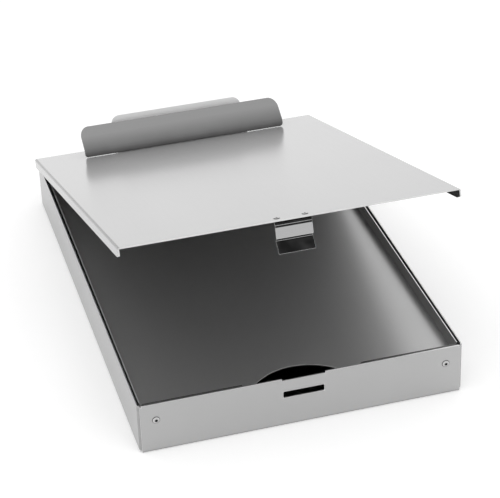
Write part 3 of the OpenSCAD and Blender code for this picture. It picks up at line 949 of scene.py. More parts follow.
RIVET_METAL = MetalFinish(
    name="rivet_metal",
    slot="rivet_aluminium",
    tone=0.76,
    roughness=0.2,
    lines=500.0,
    edge_wear=0.0,
    shade_tone=0.14,
)
HINGE_STEEL = MetalFinish(
    name="hinge_steel_satin",
    slot="hinge_steel",
    tone=0.66,
    roughness=0.34,
    grain=Grain.ALONG_X,
)
LID_HINGE_STEEL = replace(HINGE_STEEL, name="lid_leaf_satin", tilt=-LID_OPEN)


@dataclass(frozen=True)
class HingeLeaf:
    """One leaf of the three-leaf hinge, laid with its pin along X through zero.

    The plate touches the top of the barrel and runs towards -Y.
    """

    turn: int
    length: float
    width: float = 216.0
    knuckles: int = 19
    knuckle_r: float = 1.7
    bore_r: float = 0.85
    gap: float = 0.3
    thickness: float = 0.8
    clear: float = 2.0
    eased: tuple[float, int] = (0.08, 2)

    def spans(self) -> list[Span]:
        """Lists where this leaf's knuckles start and end along X.

        Returns:
            The two ends of each knuckle.
        """
        pitch, first = self.width / self.knuckles, (self.gap - self.width) / 2
        starts = [place * pitch + first for place in range(self.turn, self.knuckles, 3)]
        return [(start, start + pitch - self.gap) for start in starts]

    def plate(self) -> SheetWork:
        """Cuts the plate with a neck for each of its knuckles, as a skin without thickness.

        Returns:
            The plate, which still has to be thickened.
        """
        plate = SheetWork()
        half, top = self.width / 2, self.knuckle_r
        right = [(half, -self.length), (half, -self.clear)]
        plate.skin(both_sides(right, top))
        ends = [x for span in self.spans() for x in span if abs(x) < half - HAIR]
        plate.score(Zone(), RIGHT, *ends)
        for span in self.spans():
            plate.draw(plate.edges_in(Zone(span, -self.clear)), (0, self.clear, 0))
        return plate

    def barrel(self) -> MetalWork:
        """Turns the knuckles as tubes with a bore for the pin.

        Returns:
            All of them as one piece of work.
        """
        whole = MetalWork()
        inner, outer = self.bore_r, self.knuckle_r
        for start, end in self.spans():
            profile = [(inner, start), (outer, start), (outer, end), (inner, end), (inner, start)]
            tube = TurnedWork(profile, segments=28)
            tube.ease(*self.eased)
            tube.transform(turned(QUARTER, "Y"))
            whole.take(tube)
        return whole

    def work(self) -> SheetWork:
        """Makes the straight leaf, plate and barrel.

        Returns:
            The finished leaf.
        """
        plate = self.plate()
        plate.thicken(self.thickness, UP)
        plate.ease(*self.eased)
        plate.take(self.barrel())
        return plate


@dataclass
class BoxBody(SubAssembly):
    """The box: one folded sheet, its corner rivets and the hinge leaf with the pin."""

    width: float = 236.0
    depth: float = 362.0
    height: float = 39.5
    rear_height: float = 36.1
    sheet: float = 1.0
    bend_r: float = 1.5
    eased: float = 0.14
    tab: float = 19.0
    tab_drop: float = 1.0
    relief: float = 0.5
    corner_notch: float = 1.4
    slot: tuple[float, float, float, float] = (-14.4, 15.4, 23.5, 28.6)
    slot_r: float = 0.8
    strap_notch: tuple[float, float, float] = (-15.3, 16.3, 38.1)
    rivet_x: float = 105.4
    front_rivet_z: float = 26.0
    rear_rivet_z: float = 12.0
    leaf_length: float = 16.0
    leaf_rivet_xs: tuple[float, ...] = (-92.7, -55.62, -18.54, 18.54, 55.62, 92.7)
    leaf_rivet_z: float = 26.1
    pin_r: float = 0.8
    pin_eased: tuple[float, int] = (0.12, 2)
    # Its tone is painted darker than the lid's same aluminium, as shade on the walls
    finish: MetalFinish = MetalFinish(
        name="box_sheet",
        slot="box_aluminium",
        tone=0.7,
        roughness=0.3,
        grain=Grain.ALONG_Y,
        edge_tone=0.93,
        edge_wear=0.8,
        bend_amount=0.8,
    )

    def __post_init__(self) -> None:
        """Works out where the walls stand and where their bends end."""
        self.side, self.end = self.width / 2, self.depth / 2
        self.inner_x = self.side - self.bend_r
        self.corner_y = self.end - self.sheet - self.bend_r
        self.tab_start = self.bend_r + self.relief
        self.end_walls = ((-self.end, self.height), (self.end, self.rear_height))

    def build(self) -> None:
        """Makes every piece of the box."""
        self.mount(self.pan(), "box_pan", self.finish, ON_BOX)
        for end, y, z, turn in (
            ("front", -self.end, self.front_rivet_z, QUARTER),
            ("rear", self.end, self.rear_rivet_z, -QUARTER),
        ):
            for side, x in (("left", -self.rivet_x), ("right", self.rivet_x)):
                rivet = CORNER_RIVET.work(2 * self.sheet)
                placed = ON_BOX @ moved(x, y, z) @ turned(turn)
                self.mount(rivet, f"{end}_rivet_{side}", RIVET_METAL, placed)
        leaf = HingeLeaf(turn=0, length=self.leaf_length)
        self.mount(leaf.work(), "box_hinge_leaf", HINGE_STEEL, ON_BOX @ AT_PIN @ turned(QUARTER))
        y, z, grip = self.end + leaf.thickness, self.leaf_rivet_z, self.sheet + leaf.thickness
        row = LOW_RIVET.row((moved(x, y, z) @ turned(-QUARTER), grip) for x in self.leaf_rivet_xs)
        self.mount(row, "box_leaf_rivets", RIVET_METAL, ON_BOX)
        half = (leaf.width - leaf.gap) / 2
        pin = TurnedWork.rod(self.pin_r, -half, half, segments=20)
        pin.ease(*self.pin_eased)
        self.mount(pin, "hinge_pin", HINGE_STEEL, ON_BOX @ AT_PIN @ turned(QUARTER, "Y"))

    def pan(self) -> SheetWork:
        """Folds the box from one sheet: floor, walls, and tabs behind the end walls.

        Returns:
            The finished sheet.
        """
        pan = SheetWork()
        side, end, inner_x, corner_y = self.side, self.end, self.inner_x, self.corner_y
        front = [(inner_x, -end), (inner_x, -corner_y), (side, -corner_y)]
        rear = [(x, -y) for x, y in reversed(front)]
        pan.skin(both_sides([*front, *rear]))
        for x in (-side, side):
            self.side_wall(pan, x)
        for y, height in self.end_walls:
            pan.draw(pan.edges_in(Zone((-inner_x, inner_x), y, 0)), UP * height)
        for y in (-end, end):
            pan.bend(pan.edges_in(Zone((-inner_x, inner_x), y, 0)), self.bend_r)
            for x in (-side, side):
                self.end_tab(pan, x, y)
        for x in (-side, side):
            pan.bend(pan.edges_in(Zone(x, (-corner_y, corner_y), 0)), self.bend_r)
        self.open_walls(pan)
        pan.thicken(self.sheet, -UP)
        left, right, low, high = self.slot
        slot = Zone((left, right), (-end, self.sheet - end), (low, high))
        pan.round_corners(slot, self.slot_r, segments=5)
        pan.ease(self.eased)
        return pan

    def side_wall(self, pan: SheetWork, x: float) -> None:
        """Folds up a side wall in the stretches that its tabs need.

        Args:
            pan: the sheet.
            x: the wall's outer face.
        """
        drop, last = self.tab_drop, 0.0
        edges = pan.edges_in(Zone(x, (-self.corner_y, self.corner_y), 0))
        for z in (self.tab_start, self.rear_height - drop, self.height - drop, self.height):
            edges = pan.draw(edges, (0, 0, z - last))
            last = z

    def end_tab(self, pan: SheetWork, x: float, y: float) -> None:
        """Folds a side wall's end round the corner into the tab behind an end wall.

        Args:
            pan: the sheet.
            x: the side wall's outer face.
            y: the end wall's outer face.
        """
        away, inwards = math.copysign(1.0, y), -math.copysign(1.0, x)
        tab_top = dict(self.end_walls)[y] - self.tab_drop
        upright = Zone(x, away * self.corner_y, (self.tab_start, self.height))
        ends = pan.draw(pan.edges_in(upright), (0, away * self.bend_r, 0))
        corner = pan.draw(ends, (inwards * self.bend_r, 0, 0))
        low = [e for e in corner if all(v.co.z < tab_top + HAIR for v in e.verts)]
        pan.draw(low, (inwards * self.tab, 0, 0))
        pan.bend([e for e in ends if e.is_manifold], self.bend_r)

    def open_walls(self, pan: SheetWork) -> None:
        """Cuts the slot, the strap's notch and the corner notches into the end walls.

        Args:
            pan: the sheet.
        """
        left, right, low, high = self.slot
        notch_left, notch_right, notch_z = self.strap_notch
        notch_x = self.inner_x - self.corner_notch
        shoulder = self.tab_drop + self.relief
        for y, height in self.end_walls:
            wall = Zone(y=y, z=(self.bend_r - HAIR, height))
            pan.score(wall, RIGHT, -notch_x, notch_x)
            pan.score(wall, UP, height - shoulder)
        front = Zone((-notch_x, notch_x), -self.end)
        pan.score(front, RIGHT, left, right, notch_left, notch_right)
        pan.score(Zone((notch_left, notch_right), -self.end), UP, low, high, notch_z)
        pan.drop(Zone((left, right), -self.end, (low, high)))
        pan.drop(Zone((notch_left, notch_right), -self.end, (notch_z, self.height)))
        for y, height in self.end_walls:
            for span in ((-self.inner_x, -notch_x), (notch_x, self.inner_x)):
                pan.drop(Zone(span, y, (height - shoulder, height)))


@dataclass
class WorkingTray(SubAssembly):
    """The lift-up tray, the hinge leaf hooked over its rear wall, and their rivets."""

    half_depth: float = 178.4
    half_front: float = 115.7
    half_rear: float = 115.0
    floor_z: float = 28.1
    rim_z: float = 39.0
    rear_z: float = 36.0
    sheet: float = 0.8
    bend_r: float = 1.2
    eased: float = 0.12
    relief_x: float = 1.8
    relief_y: float = 2.4
    thumb_r: float = 41.4
    thumb_y: float = -194.6
    front_gap: float = 43.0
    # Painted shadow on the front flange, in the gap behind the box's front wall
    gap_shade: float = 0.8
    leaf_bend_r: float = 0.4
    leaf_drop: float = 6.0
    rivet_xs: tuple[float, ...] = (-72.0, -36.0, 0.0, 36.0, 72.0)
    # Its tone is painted lighter than the box's same aluminium, as light on its floor in the lid's shade
    finish: MetalFinish = MetalFinish(
        name="tray_sheet",
        slot="tray_aluminium",
        tone=0.74,
        roughness=0.3,
        grain=Grain.ALONG_Y,
        metallic=0.88,
        edge_tone=0.93,
        edge_wear=0.8,
        bend_amount=0.4,
        shade_tone=0.2,
    )

    def __post_init__(self) -> None:
        """Works out the leaf that hooks over the rear wall."""
        self.leg_y = self.half_depth - self.sheet
        self.hinge = HingeLeaf(turn=1, length=PIN.y - self.leg_y)

    def build(self) -> None:
        """Makes every piece of the tray."""
        self.mount(self.tray(), "working_tray", self.finish, ON_BOX)
        self.mount(self.leaf(), "tray_hinge_leaf", HINGE_STEEL, ON_BOX)
        y, z = self.leg_y - self.hinge.thickness, self.rear_z - self.leaf_drop / 2
        grip = self.sheet + self.hinge.thickness
        row = LOW_RIVET.row((moved(x, y, z) @ turned(QUARTER), grip) for x in self.rivet_xs)
        self.mount(row, "tray_leaf_rivets", RIVET_METAL, ON_BOX)

    def side_at(self, y: float) -> float:
        """Gives half the width of the slightly tapered tray at a depth."""
        share = (y + self.half_depth) / (2 * self.half_depth)
        return self.half_front + (self.half_rear - self.half_front) * share

    def tray(self) -> SheetWork:
        """Folds the tray: floor with the thumb cut, four flanges with open corners.

        Returns:
            The finished tray.
        """
        tray = SheetWork()
        z, end = self.floor_z, self.half_depth
        side_y, lip_y = end - self.relief_y, self.bend_r - end
        front_x, rear_x = self.half_front - self.relief_x, self.half_rear - self.relief_x
        lip_out = lip_y - self.thumb_y
        reach = math.sqrt(self.thumb_r**2 - lip_out**2)
        right = [
            (reach, lip_y),
            (self.front_gap, lip_y),
            (self.front_gap, -end),
            (front_x, -end),
            (front_x, -side_y),
            (self.side_at(-side_y), -side_y),
            (self.side_at(side_y), side_y),
            (rear_x, side_y),
            (rear_x, end),
        ]
        outline = tray.path(both_sides(right, z))
        wide = 2 * math.atan2(reach, lip_out)
        tray.spin([outline[-1]], (0, self.thumb_y, z), -UP, wide, steps=28)
        tray.weld()
        bmesh.ops.edgeloop_fill(tray.bm, edges=tray.bm.edges[:])
        sides = [e for e in tray.bm.edges if abs(e.verts[0].co.y - e.verts[1].co.y) > end]
        fronts, rear = tray.edges_in(Zone(y=-end)), tray.edges_in(Zone(y=end))
        tray.draw([*sides, *fronts], UP * (self.rim_z - z))
        tray.draw(rear, UP * (self.rear_z - z))
        tray.bend([*sides, *fronts, *rear], self.bend_r, segments=6)
        tray.thicken(self.sheet, -UP)
        tray.ease(self.eased)
        # The front flange is painted as the shadow in the gap behind the front wall, with no rubbed edge
        front = Zone(y=(-end, self.sheet - end), z=(z + self.relief_y, self.rim_z))
        tray.note(tray.faces_in(front), Mark.EDGE, 0.0)
        tray.note(tray.faces_in(front), Mark.COAT, self.gap_shade)
        return tray

    def leaf(self) -> SheetWork:
        """Makes the leaf: barrel, plate under it, bend and the leg in front of the rear wall.

        Returns:
            The finished leaf.
        """
        plate, barrel = self.hinge.plate(), self.hinge.barrel()
        plate.transform(AT_PIN @ Matrix.Scale(-1, 4, UP))
        lip = plate.edges_in(Zone(y=self.leg_y))
        under = PIN.z - self.hinge.knuckle_r
        plate.draw(lip, UP * (self.rear_z - self.leaf_drop - under))
        plate.bend(lip, self.leaf_bend_r, segments=5)
        plate.thicken(self.hinge.thickness, -UP)
        plate.ease(*self.hinge.eased)
        barrel.transform(AT_PIN)
        plate.take(barrel)
        return plate


@dataclass
class Lid(SubAssembly):
    """The lid, its leaf and the latch's rivets."""

    half_width: float = 119.7
    front_y: float = -184.0
    rear_y: float = 183.0
    top_z: float = 40.8
    sheet: float = 1.0
    bend_r: float = 1.5
    eased: float = 0.14
    flange: float = 7.6
    nose: float = 5.7
    nose_run: float = 7.0
    nose_r: float = 0.5
    leaf_length: float = 16.0
    latch_rivet_xs: Span = (-9.4, 10.4)
    latch_rivet_y: float = -178.0
    latch_grip: float = 1.9
    # Painted shade on the flanges' outer and inner faces and on the lid's underside
    flange_outer_shade: float = 0.3
    flange_inner_shade: float = 0.9
    underside_shade: float = 0.3
    finish: MetalFinish = MetalFinish(
        name="lid_sheet",
        slot="lid_aluminium",
        tone=0.757,
        roughness=0.17,
        grain=Grain.ALONG_Y,
        tilt=-LID_OPEN,
        metallic=0.45,
        grain_depth=0.015,
        relief=0.02,
        edge_tone=0.92,
        edge_wear=0.7,
        bend_tone=0.5,
        bend_amount=0.9,
        shade_tone=0.2,
    )

    def build(self) -> None:
        """Makes the lid, its leaf and the latch rivets."""
        self.mount(self.plate(), "lid_plate", self.finish, ON_LID)
        leaf = HingeLeaf(turn=2, length=self.leaf_length)
        self.mount(leaf.work(), "lid_hinge_leaf", LID_HINGE_STEEL, ON_LID @ AT_PIN)
        for side, x in zip(("left", "right"), self.latch_rivet_xs):
            rivet = LOW_RIVET.work(self.latch_grip)
            placed = ON_LID @ moved(x, self.latch_rivet_y, self.top_z)
            self.mount(rivet, f"latch_rivet_{side}", RIVET_METAL, placed)

    def plate(self) -> SheetWork:
        """Folds the lid: the writing board with a flange down each side.

        Returns:
            The finished lid.
        """
        plate = SheetWork()
        half, top, front = self.half_width, self.top_z, self.front_y
        plate.skin(both_sides([(half, front), (half, self.rear_y)], top))
        folds = [*plate.edges_in(Zone(-half)), *plate.edges_in(Zone(half))]
        plate.draw(folds, UP * -self.flange)
        slope = Vector((0, self.nose - self.flange, -self.nose_run)).normalized()
        nose_z = top - self.nose
        plate.trim(Vector((0, front, nose_z)), slope)
        plate.bend(folds, self.bend_r)
        plate.thicken(self.sheet, UP)
        self.paint_shade(plate)
        plate.round_corners(Zone(y=front, z=nose_z), self.nose_r, segments=4)
        plate.ease(self.eased)
        return plate

    def paint_shade(self, plate: SheetWork) -> None:
        """Paints shade on the lid: on the flanges' outer and inner faces and on its underside.

        Args:
            plate: the lid, with its thickness.
        """
        down, under = (0, self.top_z - self.bend_r), self.top_z - self.sheet
        outer, inner = self.half_width, self.half_width - self.sheet
        # Painted shade: outer flange faces a little darker, inner flange faces much darker, the underside
        # somewhat darker
        for x, mark, strength in (
            (outer, Mark.BEND, self.flange_outer_shade),
            (inner, Mark.COAT, self.flange_inner_shade),
        ):
            for face_x in (-x, x):
                plate.note(plate.faces_in(Zone(face_x, z=down)), mark, strength)
        plate.note(plate.faces_in(Zone(z=under)), Mark.COAT, self.underside_shade)


@dataclass
class ClipBase(SubAssembly):
    """The clip's fixed pieces: the pressed base with its finger plate, rivets and pin.

    Each rivet is given as its share of the half width, its Y and the thickness that it holds.
    """

    half_width: float = 55.6
    sheet: float = 1.2
    bend_r: float = 2.0
    eased: float = 0.14
    foot_front: float = -27.0
    back: float = -8.5
    plate_top: float = 27.2
    plate_corner_r: float = 7.0
    foot_corner_r: float = 1.8
    ear_r: float = 3.6
    ear_corner_r: float = 3.528
    ear_width: float = 12.0
    pin_r: float = 1.5
    pin_eased: float = 0.2
    rivets: tuple[tuple[float, float, float], ...] = (
        (-0.8, -13.25, 3.0),
        (-0.3, -13.25, 3.0),
        (0.3, -13.25, 3.0),
        (0.8, -13.25, 3.0),
        (-0.55, -22.5, 2.2),
        (0.55, -22.5, 2.2),
    )
    # Its tone is painted lighter than its steel, a painted highlight on the finger plate
    finish: MetalFinish = MetalFinish(
        name="clip_plate_steel",
        slot="clip_steel",
        tone=0.93,
        roughness=0.3,
        grain=Grain.ALONG_X,
        tilt=-LID_OPEN,
        metallic=0.1,
        edge_tone=0.93,
        bend_tone=0.7,
    )
    pin_finish: MetalFinish = MetalFinish(
        name="clip_pin_steel",
        slot="spring_steel",
        tone=0.62,
        roughness=0.25,
        grain=Grain.ALONG_X,
    )

    def build(self) -> None:
        """Makes the base, its rivets and the pivot pin."""
        self.mount(self.base(), "clip_base", self.finish, ON_CLIP)
        half, top = self.half_width, self.sheet
        row = LOW_RIVET.row((moved(share * half, y, top), grip) for share, y, grip in self.rivets)
        self.mount(row, "clip_rivets", RIVET_METAL, ON_CLIP)
        pin = TurnedWork.rod(self.pin_r, -half, half, segments=24)
        pin.ease(self.pin_eased)
        placed = ON_CLIP @ moved(0, *CLIP_PIVOT) @ turned(QUARTER, "Y")
        self.mount(pin, "clip_pin", self.pin_finish, placed)

    def base(self) -> SheetWork:
        """Folds the base from its underside: foot, finger plate behind, an ear at each end.

        Returns:
            The finished pressing.
        """
        base = SheetWork()
        half, inner = self.half_width, self.half_width - self.bend_r
        ear_y, ear_z = CLIP_PIVOT
        front, back = ear_y - self.ear_width / 2, ear_y + self.ear_width / 2
        right = [(inner, self.foot_front), (inner, front), (half, front)]
        right += [(half, back), (inner, back), (inner, self.back)]
        base.skin(both_sides(right))
        heel = base.edges_in(Zone(y=self.back))
        low = base.draw(heel, UP * self.bend_r)
        base.draw(low, UP * (self.plate_top - self.bend_r))
        for x in (-inner, inner):
            upright = base.edges_in(Zone(x, self.back, (self.bend_r, self.plate_top)))
            base.draw(upright, (math.copysign(self.bend_r, x), 0, 0))
        feet = []
        for x in (-half, half):
            foot = base.edges_in(Zone(x, (front, back), 0))
            feet += foot
            waist = base.draw(foot, UP * self.bend_r)
            neck = base.draw(waist, UP * (ear_z - self.bend_r))
            for vert in {v for e in neck for v in e.verts}:
                vert.co.y = ear_y + math.copysign(self.ear_r, vert.co.y - ear_y)
            base.draw(neck, UP * self.ear_r)
        base.bend(feet, self.bend_r)
        base.bend(heel, self.bend_r)
        base.join_flats()
        base.thicken(self.sheet, -UP)
        self.round_outline(base)
        base.ease(self.eased)
        return base

    def round_outline(self, base: SheetWork) -> None:
        """Rounds the corners of the finger plate and of the ears.

        Args:
            base: the pressing, with its thickness.
        """
        half, sheet, reach = self.half_width, self.sheet, self.ear_r
        plate = (self.back - sheet, self.back)
        tips = Zone(y=plate, z=self.plate_top)
        base.round_corners(tips, self.plate_corner_r, segments=10)
        for x in (-half, half):
            base.round_corners(Zone(x, plate, self.bend_r), self.foot_corner_r, segments=5)
        ear_y, ear_z = CLIP_PIVOT
        for span in ((-half, sheet - half), (half - sheet, half)):
            ear = Zone(span, (ear_y - reach, ear_y + reach), ear_z + reach)
            base.round_corners(ear, self.ear_corner_r)


@dataclass
class ClipJaw(SubAssembly):
    """The clip's moving jaw: a rolled nose, a slanted face and two ears on the pin.

    Angles are in degrees, two sizes say how far up the face the painted shade on the nose
    reaches and how softly it fades, and the sheet is spare to each side until it is trimmed.
    """

    half_width: float = 84.5
    sheet: float = 1.2
    eased: float = 0.16
    nose_r: float = 5.0
    nose: Span = (-28.6, 3.9657)
    nose_roll: float = 48.0
    face_angle: float = 48.0
    face: float = 21.6
    shade_reach: float = 2.5
    fade: float = 3.4
    spare: float = 1.0
    lip_corner_r: float = 3.0
    top_corner_r: float = 7.5
    pin_bore: float = 1.55
    ear_x: float = 54.1
    ear_r: float = 3.6
    ear_span: Span = (6.48, 16.2)
    ear_eased: tuple[float, int] = (0.1, 2)
    finish: MetalFinish = MetalFinish(
        name="jaw_satin",
        slot="jaw_metal",
        tone=0.58,
        roughness=0.42,
        grain=Grain.ALONG_X,
        tilt=-LID_OPEN,
        metallic=0.5,
        edge_tone=0.78,
        edge_wear=0.45,
        bend_amount=0.0,
        shade_tone=0.4,
        shade_amount=0.9,
        shade_gloss=0.05,
    )

    def __post_init__(self) -> None:
        """Works out the face's directions in the side view: up along it, and out from it."""
        self.slope = math.radians(self.face_angle)
        self.up, self.out = spoke(self.slope), spoke(self.slope + QUARTER)

    def build(self) -> None:
        """Makes the jaw."""
        self.mount(self.jaw(), "clip_jaw", self.finish, ON_CLIP)

    def face_point(self, x: float, up: float, out: float) -> Vector:
        """Gives the point at an X, a distance up the face and one out from the nose centre."""
        return Vector((x, *self.nose)) + self.up * up + self.out * out

    def jaw(self) -> SheetWork:
        """Rolls the nose, draws the face, trims the four corners and adds the ears.

        Returns:
            The finished jaw.
        """
        jaw = SheetWork()
        roll, centre = math.radians(self.nose_roll), Vector((0, *self.nose))
        lip, wide = centre - spoke(roll) * self.nose_r, RIGHT * (self.half_width + self.spare)
        start = jaw.path([lip - wide, lip + wide])
        geom = [*start, *jaw.bm.edges]
        rolled = jaw.spin(geom, centre, -RIGHT, QUARTER + roll - self.slope, steps=14)
        jaw.draw(of_kind(rolled, BMEdge), self.up * self.face)
        top = self.face_point(0, self.face, self.nose_r).z
        for side in (-1.0, 1.0):
            jaw.trim(RIGHT * side * self.half_width, RIGHT * side)
            for corner_r, height, turn in (
                (self.top_corner_r, top - self.top_corner_r, 0.0),
                (self.lip_corner_r, self.lip_corner_r, -QUARTER),
            ):
                middle = Vector((side * (self.half_width - corner_r), 0, height))
                jaw.trim_corner(middle, corner_r, turn if side > 0 else QUARTER - turn)
        jaw.thicken(self.sheet, Vector((0, -1, 1)))
        # Painted shade over the nose and the lower face, fading upwards
        jaw.note(jaw.bm.faces, Mark.COAT, self.nose_shade)
        jaw.note(jaw.rim_faces(), Mark.COAT, 0.0)
        jaw.ease(self.eased)
        ears = self.ear()
        ears.mirror(keep=True)
        jaw.take(ears)
        return jaw

    def nose_shade(self, place: Vector) -> float:
        """Gives how much painted shade the nose gets at a place.

        Args:
            place: the place, in the clip's millimetres.

        Returns:
            From 0 to 1.
        """
        middle = self.face_point(0, self.shade_reach, self.nose_r).z
        share = min(max((middle + self.fade - place.z) / (2 * self.fade), 0.0), 1.0)
        return share * share * (3 - 2 * share)

    def ear(self) -> SheetWork:
        """Cuts the right ear: a tongue from the face to a ring round the pin.

        Returns:
            The finished ear.
        """
        ear = SheetWork()
        pivot, across = Vector((self.ear_x, *CLIP_PIVOT)), self.up * self.ear_r
        behind = self.nose_r - self.sheet / 2
        low, high = (self.face_point(self.ear_x, up, behind) for up in self.ear_span)
        outer = ear.path([pivot - across, low, high, pivot + across])
        ear.spin([outer[-1]], pivot, -RIGHT, math.pi, steps=12)
        ear.weld()
        placed = Matrix.Translation(pivot) @ turned(QUARTER, "Y")
        bmesh.ops.create_circle(ear.bm, segments=16, radius=self.pin_bore, matrix=placed)
        bmesh.ops.triangle_fill(ear.bm, use_beauty=True, edges=ear.bm.edges[:])
        ear.thicken(self.sheet, RIGHT)
        ear.ease(*self.ear_eased)
        return ear


@dataclass
class ClipSprings:
    """The two torsion springs, held by the base at one leg and by the jaw at the other.

    The angles say where the legs leave the coil, in degrees.
    """

    shelf: EffectShelf
    wire_r: float = 0.6
    coil_r: float = 2.5
    pitch: float = 1.7
    turns: float = 5.0
    outer_x: float = 52.0
    foot_angle: float = 35.0
    jaw_angle: float = 110.0
    foot_leg: float = 10.29
    jaw_leg: float = 9.39
    finish: MetalFinish = MetalFinish(
        name="spring_wire", slot="spring_steel", tone=0.58, roughness=0.24
    )

    def build(self) -> None:
        """Winds both springs and lets them bend with the jaw."""
        for side in ("left", "right"):
            node = f"clip_spring_{side}"
            spring = self.wound()
            if side == "left":
                spring.mirror(keep=False)
            made = spring.piece(node, self.finish, self.shelf, ON_CLIP)
            low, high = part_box(node)
            outer, inner = (low.x, high.x) if side == "left" else (high.x, low.x)
            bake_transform(made, "lid", "clip", (outer, 0, 0), (inner, 0, 0))

    def wound(self) -> WireWork:
        """Winds the right spring: a leg on the foot, the coil inwards, a leg on the jaw.

        Returns:
            The finished spring.
        """
        start, end = math.radians(self.foot_angle), math.radians(self.jaw_angle)
        centre = Vector((self.outer_x, *CLIP_PIVOT))
        ahead = spoke(start)
        leg_end = centre + spoke(start - QUARTER) * self.coil_r
        wire = WireWork(self.wire_r, leg_end - ahead * self.foot_leg, ahead)
        wire.straight(ahead * self.foot_leg)
        wire.coil(centre, self.turns + (end - start) / (2 * math.pi), -self.pitch)
        wire.straight(spoke(end) * self.jaw_leg)
        wire.close()
        return wire


@dataclass
class LatchStrip:
    """The latch: one strip of spring steel, bent under the lid's front edge.

    The strap and the catch are given as Y and Z of the strip's middle line, each bend as its
    radius and its number of strips, and the band of painted shade and dark reflection under the
    lid's edge as the heights of its lower end and of the thin bright line left in it.
    """

    shelf: EffectShelf
    middle_x: float = 0.5
    width: float = 26.1
    sheet: float = 0.8
    eased: float = 0.12
    strap: Span = (-170.0, 39.35)
    leg_y: float = -183.0
    heel_z: float = 28.0
    catch: Span = (-180.1, 26.2)
    flap: float = 10.1
    flap_angle: float = 57.0
    bends: tuple[tuple[float, int], ...] = ((2.2, 10), (0.9, 5), (0.35, 4))
    tip_r: float = 0.5
    flap_edge: float = 0.2
    band: tuple[float, float, float] = (35.6, 37.0, 37.3)
    blend_length: float = 3.0
    finish: MetalFinish = MetalFinish(
        name="latch_polished",
        slot="latch_steel",
        tone=0.7,
        roughness=0.14,
        grain=Grain.ALONG_X,
        edge_tone=0.8,
        edge_wear=0.9,
        bend_amount=0.0,
        shade_tone=0.12,
        shade_gloss=0.05,
    )

    def build(self) -> None:
        """Folds the strip and lets it bend where the strap turns down."""
        latch = self.strip().piece("latch_spring", self.finish, self.shelf, ON_LID)
        bend = Vector(next(j for j in frame["joints"] if j["name"] == "latch_flex")["pos_m"])
        down = turned(-LID_OPEN).to_3x3() @ -UP
        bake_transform(latch, "lid", "latch", bend, bend + down * self.blend_length * MM)

    def front_line(self) -> list[Vector]:
        """Gives the strip's front and upper line from its middle line, strap end first.

        Returns:
            The line's points, with X zero.
        """
        catch = Vector((0, *self.catch))
        middle = [
            Vector((0, *self.strap)),
            Vector((0, self.leg_y, self.strap[1])),
            Vector((0, self.leg_y, self.heel_z)),
            catch,
            catch - spoke(math.radians(self.flap_angle)) * self.flap,
        ]
        runs = [(after - before).normalized() for before, after in zip(middle, middle[1:])]
        outs = [Vector((0, run.z, -run.y)) for run in runs]
        line = []
        for point, before, after in zip(middle, [outs[0], *outs], [*outs, outs[-1]]):
            mitre = (before + after).normalized()
            line.append(point + mitre * (self.sheet / 2 / mitre.dot(before)))
        return line

    def strip(self) -> SheetWork:
        """Folds the strip: strap, bend, leg, catch and finger flap.

        Returns:
            The finished strip.
        """
        strip = SheetWork()
        line = self.front_line()
        left, right = (RIGHT * (self.middle_x + half) for half in (-self.width / 2, self.width / 2))
        strip.path([line[0] + left, line[0] + right])
        edges, folds = strip.bm.edges[:], []
        for before, after in zip(line, line[1:]):
            edges = strip.draw(edges, after - before)
            folds.append(edges[0])
        for fold, (radius, segments) in zip(folds, self.bends):
            strip.bend([fold], radius, segments)
        strip.score(Zone(), UP, *self.band)
        strip.thicken(self.sheet, Vector((0, -1, 0)))
        faces, flap_top = strip.bm.faces, line[3].z - self.flap_edge
        # Painted dark reflection on the flap, and painted shade and dark reflection in the band under the
        # lid's edge
        painted_dark = [f for f in faces if self.is_painted_dark(f.calc_center_median().z, flap_top)]
        strip.note(painted_dark, Mark.COAT)
        strip.note(strip.rim_faces(), Mark.COAT, 0.0)
        tip = line[-1].z
        strip.round_corners(Zone(z=(tip - self.sheet, tip + self.sheet)), self.tip_r, segments=4)
        strip.ease(self.eased)
        return strip

    def is_painted_dark(self, z: float, flap_top: float) -> bool:
        """Tells whether a height is painted dark: the flap as a dark reflection, the band as shade, but not
        its thin line.
        """
        low, line_low, line_high = self.band
        return z < flap_top or z > line_high or low < z < line_low


# Camera and studio


@dataclass
class PhotoCamera:
    """The camera at the photograph's viewing angle."""

    azimuth: float = 14.90
    elevation: float = 31.68
    roll: float = -2.10
    place: tuple[float, float, float] = (-0.3152, -1.2356, 0.8227)
    lens: float = 140.3
    sensor: float = 36.0
    sees: Span = (0.05, 50.0)

    def build(self) -> None:
        """Makes the camera and sets it as the scene's own."""
        data = bpy.data.cameras.new("photo_camera")
        data.lens = self.lens
        data.sensor_width = self.sensor
        data.sensor_fit = "HORIZONTAL"
        data.clip_start, data.clip_end = self.sees
        camera = add_object("photo_camera", data)
        az, el, roll = (math.radians(a) for a in (self.azimuth, self.elevation, self.roll))
        ahead = Vector((math.sin(az) * math.cos(el), math.cos(az) * math.cos(el), -math.sin(el)))
        right = Vector((math.cos(az), -math.sin(az), 0))
        up = right.cross(ahead)
        turned_right = right * math.cos(roll) + up * math.sin(roll)
        turned_up = up * math.cos(roll) - right * math.sin(roll)
        turn = Matrix((turned_right, turned_up, -ahead)).transposed()
        camera.matrix_world = Matrix.Translation(self.place) @ turn.to_4x4()
        bpy.context.scene.camera = camera


